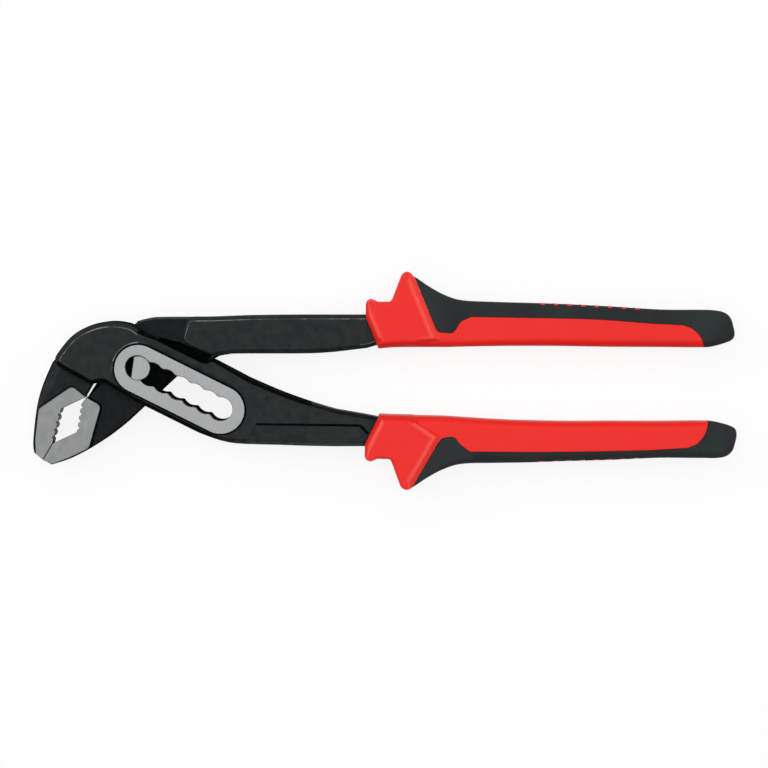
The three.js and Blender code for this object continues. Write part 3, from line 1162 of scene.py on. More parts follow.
MOTTLE = Layer(6.0, 3, (0.25, 0.75))
JAW_MOTTLE = Layer(4.0, 3, (0.25, 0.75))
FINISHES: Mapping[Finish, Recipe] = {
    Finish.FORGED: ForgedBlack(),
    # Darker copy: painted shade.
    Finish.HALF_SHADE: ForgedBlack((0.0042, 0.0062, 0.0075), (0.0138, 0.0174, 0.0172), 0.11),
    # Darker still: painted shade in recesses.
    Finish.PAINTED_SHADE: ForgedBlack((0.0027, 0.0042, 0.0052), (0.0090, 0.0118, 0.0120), 0.08),
    # Lighter copy: painted light.
    Finish.PAINTED_LIGHT: ForgedBlack((0.0150, 0.0200, 0.0215), (0.0400, 0.0490, 0.0480), 0.22),
    Finish.SCALE_AND_SHADE: ScaleAndPaintedShade(),
    Finish.WORN_HIGHLIGHT: WornHighlitEdge(),
    Finish.GROUND: GroundSteel((0.252, 0.261, 0.264), (0.330, 0.337, 0.340), MOTTLE, 63.5),
    Finish.FACED: GroundSteel((0.160, 0.165, 0.168), (0.262, 0.268, 0.270), JAW_MOTTLE, 80.0),
    Finish.RED: RedMoulding((0.795, 0.016, 0.011), (0.825, 0.020, 0.014), 0.42, 0.20),
    # Paler reds: painted half light on lit slopes, painted highlight on ridges.
    Finish.RED_HALF_LIGHT: RedMoulding((0.835, 0.034, 0.026), (0.86, 0.040, 0.030), 0.38, 0.22),
    Finish.RED_HIGHLIGHT: RedMoulding((0.87, 0.060, 0.049), (0.89, 0.068, 0.055), 0.34, 0.25),
    Finish.RUBBER: BlackCover(),
}
STEEL = (
    Finish.FORGED,
    Finish.HALF_SHADE,
    Finish.PAINTED_SHADE,
    Finish.PAINTED_LIGHT,
    Finish.SCALE_AND_SHADE,
    Finish.WORN_HIGHLIGHT,
    Finish.GROUND,
    Finish.FACED,
)
MOULDING = (Finish.RED, Finish.RED_HALF_LIGHT, Finish.RED_HIGHLIGHT)
# Chamfers take the black scale as painted shade, and a painted highlight line along their upper corner.
FORGED_EDGE = chamfer(1.75, 1.5, Finish.FORGED, Finish.SCALE_AND_SHADE, Finish.WORN_HIGHLIGHT)
ARM_EDGE = chamfer(1.7, 1.45, Finish.FORGED, line=Finish.WORN_HIGHLIGHT, wall=Finish.SCALE_AND_SHADE)
JAW_EDGE = chamfer(0.5, 0.7, Finish.HALF_SHADE, Finish.SCALE_AND_SHADE)
PLATE_EDGE = chamfer(0.6, 0.6, Finish.PAINTED_SHADE, Finish.SCALE_AND_SHADE)
SURROUND_EDGE = chamfer(0.2, 0.2, Finish.GROUND, wall=Finish.SCALE_AND_SHADE)
FACED_EDGE = chamfer(0.15, 0.15, Finish.FACED, wall=Finish.PAINTED_LIGHT)
TANG_EDGE = chamfer(1.5, 1.35, Finish.RED)
# The boss's slopes grade through paler reds up to the ridge: painted half light and painted highlight.
BOSS_EDGE = Edge(
    1.0,
    1.0,
    ((0.0, 1.0), (0.10, 0.66), (0.40, 0.27), (0.52, 0.16), (0.64, 0.08), (0.80, 0.02), (1.0, 0.0)),
    (Finish.RED, Finish.RED, Finish.RED_HALF_LIGHT, Finish.RED_HIGHLIGHT, Finish.RED_HIGHLIGHT, Finish.RED_HALF_LIGHT),
    Finish.RED,
)


# The tool


@dataclass(frozen=True)
class Layout:
    """Sizes that the levers, the pin and the grips share."""

    slot_angle: float = 26.5
    notch_count: int = 7
    notch_pitch: float = 5.5
    notch_radius: float = 4.2
    notch_steps: int = 14
    crest_land: float = 0.4
    crest_radii: Pair = (2.0, 1.2)
    crest_steps: int = 6
    band_steps: int = 40
    pin_rest: float = 0.5
    pin_clearance: float = 0.13
    bore_clearance: float = 0.05
    jaw_half: float = 4.3
    side_clearance: float = 0.15
    cheek: float = 3.15
    pad_height: float = 0.4
    arm_half: float = 5.25
    tang_half: float = 3.5
    beyond: float = 40.0

    @property
    def throat_half(self) -> float:
        """Half the slot's width between two crests."""
        return math.sqrt(self.notch_radius**2 - ((self.notch_pitch - self.crest_land) / 2) ** 2)

    @property
    def pin_radius(self) -> float:
        """Radius of the pin where it passes the crests."""
        return self.throat_half - self.pin_clearance

    @property
    def window_half(self) -> float:
        """Half the height of the window between the cheeks."""
        return self.jaw_half + self.side_clearance

    @property
    def box_half(self) -> float:
        """Half the thickness over the cheeks."""
        return self.window_half + self.cheek

    @property
    def pad_face(self) -> float:
        """Height of the ground surround, which the tool lies on."""
        return self.box_half + self.pad_height

    def on_slot(self, along: float, across: float) -> np.ndarray:
        """A point along the slot from the first notch, and square to it."""
        return turned((along, across), -self.slot_angle)

    @property
    def last_notch(self) -> np.ndarray:
        """Middle of the last notch."""
        return self.on_slot((self.notch_count - 1) * self.notch_pitch, 0)

    @property
    def pin_axis(self) -> np.ndarray:
        """The pin, with the jaws closed."""
        return self.on_slot(self.pin_rest, 0)

    def slot_band(self, radius: float, shift: Pair = (0.0, 0.0), overrun: float = 0.0) -> np.ndarray:
        """A round-ended band along the slot.

        Args:
            radius: Half its width.
            shift: How far it is moved along the slot and square to it.
            overrun: How much longer it is than the row of notches.

        Returns:
            The band's outline.
        """
        near = self.on_slot(*shift)
        far = near + self.last_notch + self.on_slot(overrun, 0)
        side = 90 - self.slot_angle
        near_end = arc(near, radius, side, side + 180, self.band_steps)
        return np.vstack([near_end, arc(far, radius, side - 180, side, self.band_steps)])

    def slot_outline(self) -> np.ndarray:
        """The slot, a row of notches down each side.

        Returns:
            The slot's outline, with its crests rounded.
        """
        rise = math.degrees(math.acos(self.notch_pitch / 2 / self.notch_radius))
        upper, lower = [], []
        for i in range(self.notch_count):
            centre = self.on_slot(i * self.notch_pitch, 0)
            first = 180 if i == 0 else 180 - rise
            last = 0 if i == self.notch_count - 1 else rise
            for row, way in ((upper, 1), (lower, -1)):
                start, stop = way * first - self.slot_angle, way * last - self.slot_angle
                row.append(arc(centre, self.notch_radius, start, stop, self.notch_steps))
        outline = spread(np.vstack([*upper, *(row[::-1] for row in lower[::-1])]), self.beyond)
        across = outline @ self.on_slot(0, 1)
        return rounded(outline, np.where(across > 0, *self.crest_radii), self.crest_steps)


@dataclass(frozen=True)
class Handle:
    """Where a grip sits on its lever, and the tang inside it. Its own Y runs towards the outer edge."""

    front: Pair
    tilt: float
    outward: int
    root: float
    flare: float = 0.9
    tang_spacing: float = 6.0

    @property
    def tang(self) -> np.ndarray:
        """The tang's stations: distance from the collar, inner edge, outer edge and half thickness.

        Returns:
            One row for each.
        """
        arm, thin = Layout.arm_half, Layout.tang_half
        return plan(
            (-6.0, -self.root - self.flare, 4.2, arm),
            (0.0, -self.root, 4.1, arm),
            (6.0, -6.0, 4.1, (arm + thin) / 2),
            (14.0, -4.3, 4.0, thin),
            (112.0, -4.4, 3.2, thin),
        )

    def on_lever(self, points: np.ndarray) -> np.ndarray:
        """Points of the handle's frame, in the tool's plan.

        Args:
            points: Rows of x and y. A third number is a height.

        Returns:
            As many rows.
        """
        moved = points.copy()
        moved[:, :2] = turned((points[:, 0], points[:, 1] * self.outward), self.tilt).T + self.front
        moved[:, 2:] *= self.outward
        return moved

    def tang_edges(self, first: int) -> tuple[np.ndarray, np.ndarray]:
        """The tang's inner and outer edge in the handle's frame, from one of its stations."""
        rows = self.tang[first:]
        return rows[:, [0, 1]], rows[:, [0, 2]]

    def tang_heights(self) -> np.ndarray:
        """Rows of x and half the thickness of the tang, in the handle's frame."""
        return self.tang[:, [0, 3]]

    def lever_heights(self) -> np.ndarray:
        """Rows of x and half the thickness of the tang behind the collar, in the tool's plan."""
        return self.tang_heights()[1:] + (self.front[0], 0)

    def tang_space(self, grow: float, first: int) -> Solid:
        """The tang, grown all round.

        Args:
            grow: How much.
            first: Station of the tang that it starts from.

        Returns:
            The space in the handle's frame.
        """
        inner, outer = self.tang_edges(first)
        loop = facing_left(np.vstack([inner, outer[::-1]]))
        rim, face = Rim(offset(loop, -grow), TANG_EDGE), tapered(self.tang_heights(), grow)
        return Solid(MOULDING).relief([rim], face, Finish.RED, self.tang_spacing)


UPPER = Handle((81.3, 14.5), 0.0, 1, 7.75)
LOWER = Handle((81.3, -24.05), -1.18, -1, 7.05)


@dataclass(frozen=True)
class Jaws:
    """The closing line, the diamond mouth in it and the ground faces beside it."""

    gap: float = 0.2
    tip: Pair = (-33.85, -33.0)
    foot: Pair = (-30.35, -27.1)
    top: Pair = (-18.5, -10.7)
    slit: Pair = (-16.4, -6.2)
    mouth_depths: Pair = (9.6, 9.4)
    mouth_angle: float = 25.5
    shoulder: Pair = (-20.3, -13.2)
    tooth_count: int = 4
    tooth_pitches: Pair = (2.75, 2.5)
    tooth_leads: Pair = (2.3, 0.95)
    tooth_depth: float = 0.75
    tooth_share: float = 0.62
    tooth_overlap: float = 0.02
    face_height: float = 0.3
    face_corner: float = 2.2
    face_spacing: float = 3.0
    tip_corner: float = 0.3
    groove: float = 0.8
    groove_depth: float = 0.5
    set_back: float = 0.12
    slit_room: float = 0.4

    @property
    def square(self) -> np.ndarray:
        """Direction from the fixed jaw to the moving one."""
        return -left_of(heading(self.tip, self.top))

    def on(self, point: Sequence[float], side: Side, back: float = 0.0) -> np.ndarray:
        """A point of the closing line, moved to one jaw's side of the gap and further back."""
        return np.asarray(point) + self.square * side.value * (self.gap / 2 + back)

    def mouth(self, side: Side, back: float = 0.0) -> np.ndarray:
        """A jaw's side of the mouth.

        Args:
            side: Which jaw.
            back: How far behind the jaw's own face.

        Returns:
            Points from the top of the closing line to the tip.
        """
        fixed, moving = (turned((depth, 0), self.mouth_angle) for depth in self.mouth_depths)
        top, foot, tip = (self.on(point, side, back) for point in (self.top, self.foot, self.tip))
        if side is Side.FIXED:
            return np.array([top, top - fixed, foot, tip])
        return np.array([top, self.on(self.shoulder, side, back), foot + moving, foot, tip])

    def flank(self, side: Side) -> np.ndarray:
        """A jaw's own border from the slit to the tip, just behind its ground face."""
        return np.vstack([self.on(self.top, side, self.slit_room), self.mouth(side, self.set_back)[1:]])

    def teeth(self, side: Side, row: RowTree, length: float) -> Solid:
        """The notches between a jaw's teeth.

        Args:
            side: Which jaw.
            row: The tree that makes them.
            length: Length of the notches, through the jaw.

        Returns:
            A row of three-sided prisms.
        """
        start, stop = self.mouth(side)[1:3]
        way = heading(start, stop)
        into = left_of(way) * side.value
        moving = side is Side.MOVING
        lead, pitch = self.tooth_leads[moving], self.tooth_pitches[moving]
        first = start + way * lead + into * (self.tooth_depth / 3 - self.tooth_overlap)
        depth, width = self.tooth_depth / TRIANGLE_HEIGHT, self.tooth_share * pitch / TRIANGLE_SIDE
        # The notches' walls take the lighter forged copy, which paints light on them.
        return row.solid(
            STEEL,
            Finish.PAINTED_LIGHT,
            Count=self.tooth_count,
            Start=(*first, 0.0),
            Step=(*(way * pitch), 0.0),
            Sides=3,
            Radius=1.0,
            Length=length,
            Turn=(0.0, 0.0, math.atan2(into[1], into[0])),
            Stretch=(depth, width, 1.0),
        )

    def dress(self, lever: Solid, side: Side, border: np.ndarray, layout: Layout, row: RowTree) -> Solid:
        """Gives a jaw its ground faces in their grooves, and its teeth.

        Args:
            lever: The lever, with the jaw.
            side: Which jaw.
            border: The ground face's outer border, from the tip to the top of the closing line.
            layout: The tool's shared sizes.
            row: The tree that makes the teeth.

        Returns:
            The lever.
        """
        mouth = self.mouth(side)
        corners = [self.tip_corner] + [self.face_corner] * (len(border) - 1) + [0.0] * len(mouth)
        face = rounded(np.vstack([border, mouth]), corners)
        around = offset(facing_left(spread(face, self.face_spacing)), -self.groove)
        floor, top = layout.jaw_half - self.groove_depth, layout.jaw_half + self.face_height
        # The groove is painted as shade: black by the moving face, dark forged by the fixed one.
        finish = Finish.PAINTED_SHADE if side is Side.FIXED else Finish.SCALE_AND_SHADE
        grooves = [Solid(STEEL).prism(around, floor, layout.beyond, finish) for _ in range(2)]
        lever.work(Work.CUT, grooves[0], grooves[1].upside_down())
        lever.work(Work.JOIN, Solid(STEEL).relief([Rim(face, FACED_EDGE)], level(top), Finish.FACED))
        # The mouth's wall takes the paler ground steel, which also paints light on it where it lies in
        # shade.
        lever.repainted(Finish.SCALE_AND_SHADE, Finish.GROUND, partial(self.on_mouth, side=side))
        return lever.work(Work.CUT, self.teeth(side, row, 2 * layout.beyond))

    def on_mouth(self, at: Vector, side: Side) -> bool:
        """Whether a place is on the wall of the mouth that a jaw's teeth are cut in, which is ground.

        Args:
            at: The place.
            side: Which jaw.

        Returns:
            Whether it is.
        """
        start, stop = self.mouth(side)[1:3]
        way, step = heading(start, stop), np.array(at.xy) - start
        on_line = abs(step @ left_of(way)) < 2 * self.set_back
        return on_line and 0 < step @ way < np.linalg.norm(stop - start)


@dataclass
class SlottedLever:
    """Fixed jaw, box with the notched slot, arm and tang."""

    layout: Layout
    jaws: Jaws
    row: RowTree
    upper_reach: float = 12.2
    lower_reach: float = 11.1
    shoulder_reach: float = 14.5
    shoulder_at: float = 22.4
    shoulder_run: float = 1.6
    corner: float = 3.4
    pad_radius: float = 8.5
    pad_shift: Pair = (0.6, -0.3)
    pad_overrun: float = -0.5
    pad_spacing: float = 1.5
    flange_share: float = 0.86
    groove_radius: float = 9.1
    groove_depth: float = 1.0
    lip: float = 0.5
    lip_drop: float = 0.25
    crown_edge: Pair = (2.2, 1.6)
    box_edge: Pair = (0.9, 1.5)
    arm_edge: Pair = (1.75, 1.5)
    neck_room: float = 17.6
    panel_depth: float = 0.35
    panel_corner: float = 0.8
    stamp_depth: float = 0.8
    crown_from: float = 2.0
    crown_fringe: float = 3.0
    crown_slope: float = 0.9
    arm_middle: float = -20.0
    arm_top_from: float = 62.0
    jaw_slope: Pair = (-15.5, 6.0)
    # Painted shade near the head stepping to painted light along the arm's outer chamfer.
    heel_painted_light: tuple[tuple[Finish, float], ...] = (
        (Finish.PAINTED_LIGHT, 38.0),
        (Finish.FORGED, 34.0),
        (Finish.HALF_SHADE, 30.0),
        (Finish.PAINTED_SHADE, 26.0),
    )
    jaw_back: np.ndarray = field(
        default_factory=lambda: plan(
            (-37.05, -30.4, 0.5, 0.7),
            (-37.35, -25.9, 0.5, 0.7),
            (-36.0, -14.2, 1.4, 0.8),
            (-33.85, -6.3, 4.2, 1.0),
            (-30.5, 1.5, 4.2, 1.0),
        )
    )

    def forging(self) -> np.ndarray:
        """Outline of the head, the box, the arm and the tang.

        Returns:
            Rows of x and y with the size of the edge at each point.
        """
        inner, outer = LOWER.tang_edges(1)
        crown = plan((-30.6, 1.8), (-23.7, 10.6), (-16.7, 14.8), (-9.6, 16.3), (-3.0, 15.5), (1.0, 13.3))
        arm_top = plan((39.6, -3.9), (50.0, -8.4), (60.0, -12.0), (70.0, -15.0))
        heel = plan(
            (21.7, -23.2),
            (28.9, -25.8),
            (36.0, -27.1),
            (50.0, -27.55),
            (60.0, -27.95),
            (70.0, -28.2),
        )
        reach, shoulder = self.layout.on_slot, self.shoulder_at
        upper = plan(
            reach(1.5, self.upper_reach),
            reach(shoulder - self.shoulder_run, self.upper_reach),
            reach(shoulder, self.shoulder_reach),
        )
        far, near = (reach(along, -self.lower_reach) for along in (24.5, 5.0))
        lower = plan(far, near, (-12.6, -4.9), (-16.3, -6.2))
        tang = [LOWER.on_lever(inner), LOWER.on_lever(outer)[::-1]]
        arm = np.vstack([smooth(arm_top, steps=18), *tang, smooth(heel, steps=30)[::-1], lower])
        parts = ((smooth(crown, steps=40), self.crown_edge), (upper, self.box_edge), (arm, self.arm_edge))
        return rounded(np.vstack([edged(points, *edge) for points, edge in parts]), self.corner)

    def on_crown(self, at: Vector, beyond: float = 0.0) -> bool:
        """Whether a place is on the head's crown, which faces the light and is painted lighter, or just
        beyond it.
        """
        return at.x < beyond and at.y > self.crown_from - beyond

    def on_crown_slope(self, at: Vector) -> bool:
        """Whether a place is on the crown's slope, painted lit, above its outer line painted dark as shade.
        """
        return self.on_crown(at) and abs(at.z) > self.layout.box_half - self.crown_slope

    def on_heel(self, at: Vector, start: float) -> bool:
        """Whether a place is on the arm's outer edge, from some way along the head."""
        return at.x > start and at.y < self.arm_middle

    def on_arm_top(self, at: Vector) -> bool:
        """Whether a place is on the arm's upper edge, near the grip."""
        return at.x > self.arm_top_from and at.y > self.arm_middle

    def on_jaw_slope(self, at: Vector) -> bool:
        """Whether a place is on the broad slope down to the fixed jaw's back, or above its ground face.

        Args:
            at: The place.

        Returns:
            Whether it is.
        """
        low, high = self.jaw_slope
        inward = at.x - np.interp(at.y, self.jaw_back[:, 1], self.jaw_back[:, 0])
        below = self.layout.jaw_half - abs(at.z)
        return low < at.y < high and inward > JAW_EDGE.inset and 0 < below < JAW_EDGE.drop

    def thickness(self) -> np.ndarray:
        """Half the thickness, from the box to the end of the tang.

        Returns:
            Rows of x and half the thickness.
        """
        box, arm = self.layout.box_half, self.layout.arm_half
        taper = smooth(plan((44, box), (50, box), (60, (box + arm) / 2), (70, arm), (76, arm)), steps=24)
        return np.vstack([taper, LOWER.lever_heights()])

    def body(self, sunk: float, finish: Finish) -> Solid:
        """The forging without its jaw, with its faces sunk by a depth."""
        face = tapered(self.thickness(), -sunk)
        return Solid(STEEL).relief([Rim(self.forging(), FORGED_EDGE)], face, finish)

    def window(self) -> Solid:
        """The opening between the cheeks, which the inner lever passes through.

        Returns:
            The space to cut.
        """
        far, half = self.layout.beyond, self.layout.window_half
        back = plan((33.0, 2.2), (22.5, 1.5), (17.5, -3.8), (17.5, -far)) + self.layout.last_notch
        top = self.jaws.on(self.jaws.top, Side.FIXED)
        front = plan((self.jaws.top[0], -far), top, self.jaws.slit, (-self.neck_room, 8.5), (-11.0, 20.0))
        ends = plan((front[-1][0], far), (back[0][0], far))
        return Solid(STEEL).prism(facing_left(np.vstack([front, ends, back])), -half, half, Finish.SCALE_AND_SHADE)

    def panel(self) -> Solid:
        """The stamped panel on both faces of the tapering arm, with its deeper upper edge.

        Returns:
            The space to cut.
        """
        outline = plan(
            (41.5, -20.4),
            (78.9, -20.9),
            (81.4, -23.2),
            (78.9, -25.6),
            (42.5, -25.0),
            (40.5, -23.2),
        )
        stamp = plan(
            (42.0, -19.7),
            (79.3, -20.3),
            (82.2, -23.5),
            (81.2, -23.9),
            (78.6, -21.2),
            (42.0, -20.5),
        )
        space = self.sunk(rounded(outline, self.panel_corner, steps=4), self.panel_depth, Finish.FORGED)
        return space.work(Work.JOIN, self.sunk(stamp, self.stamp_depth, Finish.SCALE_AND_SHADE))

    def sunk(self, outline: np.ndarray, depth: float, finish: Finish) -> Solid:
        """A space over an outline that follows both faces of the arm at a depth."""
        space = Solid(STEEL).prism(facing_left(outline), -self.layout.beyond, self.layout.beyond, finish)
        return space.work(Work.CUT, self.body(depth, finish))

    def band(self, radius: float) -> np.ndarray:
        """A band about the ground pad's middle line."""
        return self.layout.slot_band(radius, self.pad_shift, self.pad_overrun)

    def surround(self) -> Solid:
        """The ground pad round the slot on a flange that the box holds, with the slot through it.

        Returns:
            The pads of both faces, in one.
        """
        share, flange = self.flange_share, self.groove_radius + self.lip - self.pad_radius
        rows = ((0.0, 1.0), (share - 0.02, 1.0), (share, 0.12), (0.91, 0.02), (1.0, 0.0))
        bands = (Finish.SCALE_AND_SHADE, Finish.SCALE_AND_SHADE, Finish.GROUND, Finish.GROUND)
        step = Edge(flange / share, self.groove_depth + self.layout.pad_height, rows, bands, Finish.SCALE_AND_SHADE)
        outer = Rim(self.band(self.groove_radius + self.lip), step)
        slot = Rim(self.layout.slot_outline(), SURROUND_EDGE, hole=True)
        face = level(self.layout.pad_face)
        return Solid(STEEL).relief([outer, slot], face, Finish.GROUND, self.pad_spacing)

    def groove(self) -> Solid:
        """The space round the ground pad, with a lip painted as a highlight, and the slot below it.

        Returns:
            The space to cut, for the upper face.
        """
        inner = facing_left(self.band(self.groove_radius))
        outer = facing_left(self.band(self.groove_radius + self.lip))
        top, far = self.layout.box_half, self.layout.beyond
        levels = [(inner, -far), (inner, top - self.lip_drop), (outer, top), (outer, far)]
        bands = (Finish.SCALE_AND_SHADE, Finish.SCALE_AND_SHADE, Finish.WORN_HIGHLIGHT, Finish.SCALE_AND_SHADE, Finish.SCALE_AND_SHADE)
        return Solid(STEEL).tower(levels, bands)

    def fixed_jaw(self) -> Solid:
        """The fixed jaw, from the tip up into the head.

        Returns:
            The jaw.
        """
        inner = plan((-23.7, 10.6), (-self.neck_room, 8.5), self.jaws.slit)
        border = np.vstack([inner, self.jaws.flank(Side.FIXED)])
        loop = np.vstack([smooth(self.jaw_back, steps=24), edged(border, JAW_EDGE.inset, JAW_EDGE.drop)])
        # The jaw lies below the head and takes a darker forged copy, painted shade.
        return Solid(STEEL).relief([Rim(loop, JAW_EDGE)], level(self.layout.jaw_half), Finish.HALF_SHADE)

    def dress_edges(self, lever: Solid) -> None:
        """Gives the forging's edges their finishes place by place, painting light and shade.

        Args:
            lever: The forging, before its panel and its jaw.
        """
        # Painted highlight lines stay on the crown, which faces the light, and fade just beyond it.
        lever.repainted(Finish.WORN_HIGHLIGHT, Finish.PAINTED_LIGHT, lambda at: not self.on_crown(at))
        lever.repainted(Finish.PAINTED_LIGHT, Finish.FORGED, lambda at: not self.on_crown(at, self.crown_fringe))
        # The crown's lit slope loses its painted shade.
        lever.repainted(Finish.SCALE_AND_SHADE, Finish.FORGED, self.on_crown_slope)
        # The heel's chamfer steps from painted shade near the head to painted light further along.
        for finish, start in self.heel_painted_light:
            lever.repainted(Finish.SCALE_AND_SHADE, finish, partial(self.on_heel, start=start))
        # The arm's upper edge near the grip takes lighter painted shade.
        lever.repainted(Finish.SCALE_AND_SHADE, Finish.PAINTED_SHADE, self.on_arm_top)

    def build(self) -> Solid:
        """Makes the lever.

        Returns:
            The lever.
        """
        lever = self.body(0.0, Finish.FORGED)
        lever.work(Work.CUT, self.groove(), self.groove().upside_down())
        self.dress_edges(lever)
        lever.work(Work.CUT, self.panel())
        lever.work(Work.JOIN, self.surround())
        lever.work(Work.CUT, self.window())
        lever.work(Work.JOIN, self.fixed_jaw())
        border = plan((-36.4, -30.7), (-36.6, -26.0), (-35.3, -14.9), (-23.4, -6.75))
        self.jaws.dress(lever, Side.FIXED, border, self.layout, self.row)
        # The fixed jaw's broad slope and the groove above its face lose their painted shade.
        return lever.repainted(Finish.SCALE_AND_SHADE, Finish.FORGED, self.on_jaw_slope)


@dataclass
class InnerLever:
    """Moving jaw, neck through the box, arm and tang."""

    layout: Layout
    jaws: Jaws
    row: RowTree
    neck_radius: float = 14.6
    neck_span: Pair = (97.0, 197.0)
    edge_reach: float = 11.8
    edge_angle: float = 43.0
    edge_length: float = 15.0
    top_edge: float = 0.9
    top_from: Pair = (-1.0, 15.0)
    # A wide black chamfer at the slit paints the head's shadow on the moving jaw.
    slit_edge: Pair = (1.9, 1.6)
    corner: float = 3.0
    plain_foot: Pair = (24.0, 8.0)
    bed_radius: float = 4.8
    bed_depth: float = 0.5
    relief_floor: float = 1.2
    bore_points: int = 60

    def plate(self) -> Solid:
        """The flat part: jaw, neck and the root of the arm.

        Returns:
            The plate.
        """
        jaw_back = plan((-30.8, -34.7), (-24.1, -32.5), (-17.0, -28.9), (-9.9, -24.3), (-4.0, -19.7))
        arm_top = plan((0.0, 16.4), (3.9, 17.4), (8.0, 17.75), (25.0, 17.85), (40.0, 18.2))
        edge = turned((self.edge_length, -self.edge_reach), self.edge_angle)
        foot = plan(edge, (25.8, 1.75), (27.4, 3.1), (29.0, 4.0), (36.0, 5.4), (40.0, 6.5))
        neck = arc((0, 0), self.neck_radius, *self.neck_span, steps=30)
        inset, drop = PLATE_EDGE.inset, PLATE_EDGE.drop
        loop = [
            edged(np.vstack([smooth(jaw_back, steps=24), foot]), inset, drop),
            edged(smooth(arm_top, steps=20)[::-1], self.top_edge, drop),
            edged(neck, inset, drop),
            # Black chamfer: painted shadow of the head beside the slit.
            edged(plan((-14.9, -5.8)), *self.slit_edge),
            edged(self.jaws.flank(Side.MOVING), inset, drop),
        ]
        rim = Rim(np.vstack(loop), PLATE_EDGE)
        # The plate lies below the box and takes the darker forged copy, painted shade.
        plate = Solid(STEEL).relief([rim], level(self.layout.jaw_half), Finish.PAINTED_SHADE)
        return plate.repainted(Finish.SCALE_AND_SHADE, Finish.PAINTED_LIGHT, self.on_top_edge)

    def on_top_edge(self, at: Vector) -> bool:
        """Whether a place is on the chamfer along the plate's top, which is painted with a highlight."""
        x, y = self.top_from
        return at.x > x and at.y > y and abs(at.z) > self.layout.jaw_half - PLATE_EDGE.drop

    def on_foot_without_highlight(self, at: Vector) -> bool:
        """Whether a place is on the arm's lower edge behind the box, which gets no painted highlight line.
        """
        x, y = self.plain_foot
        return at.x > x and at.y < y

    def arm(self) -> Solid:
        """The full arm, from its step above the neck to the end of the tang.

        Returns:
            The arm.
        """
        inner, outer = UPPER.tang_edges(1)
        top = plan((17.4, 17.9), (26.0, 17.9), (40.0, 18.4), (57.0, 18.6), (70.0, 18.6))
        foot = plan((26.4, 4.45, 0.3, 1.0), (23.4, 5.5, 0.7, 1.0), (15.6, 9.15, 0.7, 1.0))
        bottom = plan((27.8, 3.85), (31.9, 4.5), (36.0, 4.8), (60.0, 4.85), (70.0, 5.4))
        tang = [UPPER.on_lever(outer), UPPER.on_lever(inner)[::-1]]
        edges = np.vstack([smooth(top, steps=24), *tang, smooth(bottom, steps=24)[::-1]])
        outline = rounded(np.vstack([edged(edges, ARM_EDGE.inset, ARM_EDGE.drop), foot]), self.corner)
        arm = Solid(STEEL).relief([Rim(outline, ARM_EDGE)], tapered(UPPER.lever_heights()), Finish.FORGED)
        return arm.repainted(Finish.WORN_HIGHLIGHT, Finish.FORGED, self.on_foot_without_highlight)

    def recesses(self) -> Solid:
        """The slide bed under the slot, and the relief beside the box's upper edge.

        Returns:
            The space to cut, for the upper face.
        """
        floor, far = self.layout.jaw_half - self.bed_depth, self.layout.beyond
        bed = facing_left(self.layout.slot_band(self.bed_radius))
        corners = ((2.0, 11.0), (21.5, 11.0), (21.5, 15.6), (9.5, 14.6), (2.0, 12.9))
        wedge = facing_left(plan(*[self.layout.on_slot(*corner) for corner in corners]))
        # Bed and relief are lined with black scale, painted shade.
        space = Solid(STEEL).prism(bed, floor, far, Finish.SCALE_AND_SHADE)
        return space.work(Work.JOIN, Solid(STEEL).prism(wedge, self.relief_floor, far, Finish.SCALE_AND_SHADE))

    def build(self) -> Solid:
        """Makes the lever.

        Returns:
            The lever.
        """
        lever = self.plate()
        lever.work(Work.CUT, self.recesses(), self.recesses().upside_down())
        lever.work(Work.JOIN, self.arm())
        border = plan((-30.7, -34.5), (-24.3, -32.1), (-17.5, -28.8), (-13.2, -13.7))
        self.jaws.dress(lever, Side.MOVING, border, self.layout, self.row)
        radius, far = self.layout.pin_radius + self.layout.bore_clearance, self.layout.beyond
        bore = circle(self.layout.pin_axis, radius, self.bore_points)
        return lever.work(Work.CUT, Solid(STEEL).prism(bore, -far, far, Finish.SCALE_AND_SHADE))


@dataclass
class PivotPin:
    """Round in the inner lever, flatted in the slot, with a flatted head over the ground surround."""

    layout: Layout
    flat: float = 2.0
    flat_angle: float = 172.0
    head_radius: float = 4.25
    head_height: float = 0.6
    head_gap: float = 0.15
    head_edge: float = 0.18
    tail_recess: float = 0.2
    round_points: int = 72

    def outline(self, radius: float) -> np.ndarray:
        """A circle with one flat.

        Args:
            radius: The circle's radius.

        Returns:
            The outline about the pin's axis.
        """
        half = math.degrees(math.acos(self.flat / radius))
        start, stop = self.flat_angle + half, self.flat_angle + 360 - half
        return arc((0, 0), radius, start, stop, self.round_points) + self.layout.pin_axis

    def build(self) -> Solid:
        """Makes the pin.

        Returns:
            The pin.
        """
        radius, half, ease = self.layout.pin_radius, self.layout.jaw_half, self.head_edge
        shank, head = self.outline(radius), self.outline(self.head_radius)
        eased = offset(head, ease)
        low, tail = self.layout.pad_face + self.head_gap, self.tail_recess - self.layout.pad_face
        high = low + self.head_height
        levels = [(offset(shank, ease), tail), (shank, tail + ease), (shank, low + self.head_height / 2)]
        pin = Solid(STEEL).tower(levels, [Finish.GROUND, Finish.GROUND, Finish.FORGED, Finish.GROUND])
        cap = [(eased, low), (head, low + ease), (head, high - ease), (eased, high)]
        pin.work(Work.JOIN, Solid(STEEL).tower(cap, [Finish.GROUND] * 5))
        middle = circle(self.layout.pin_axis, radius, self.round_points)
        return pin.work(Work.JOIN, Solid(STEEL).prism(middle, -half, half, Finish.SCALE_AND_SHADE))


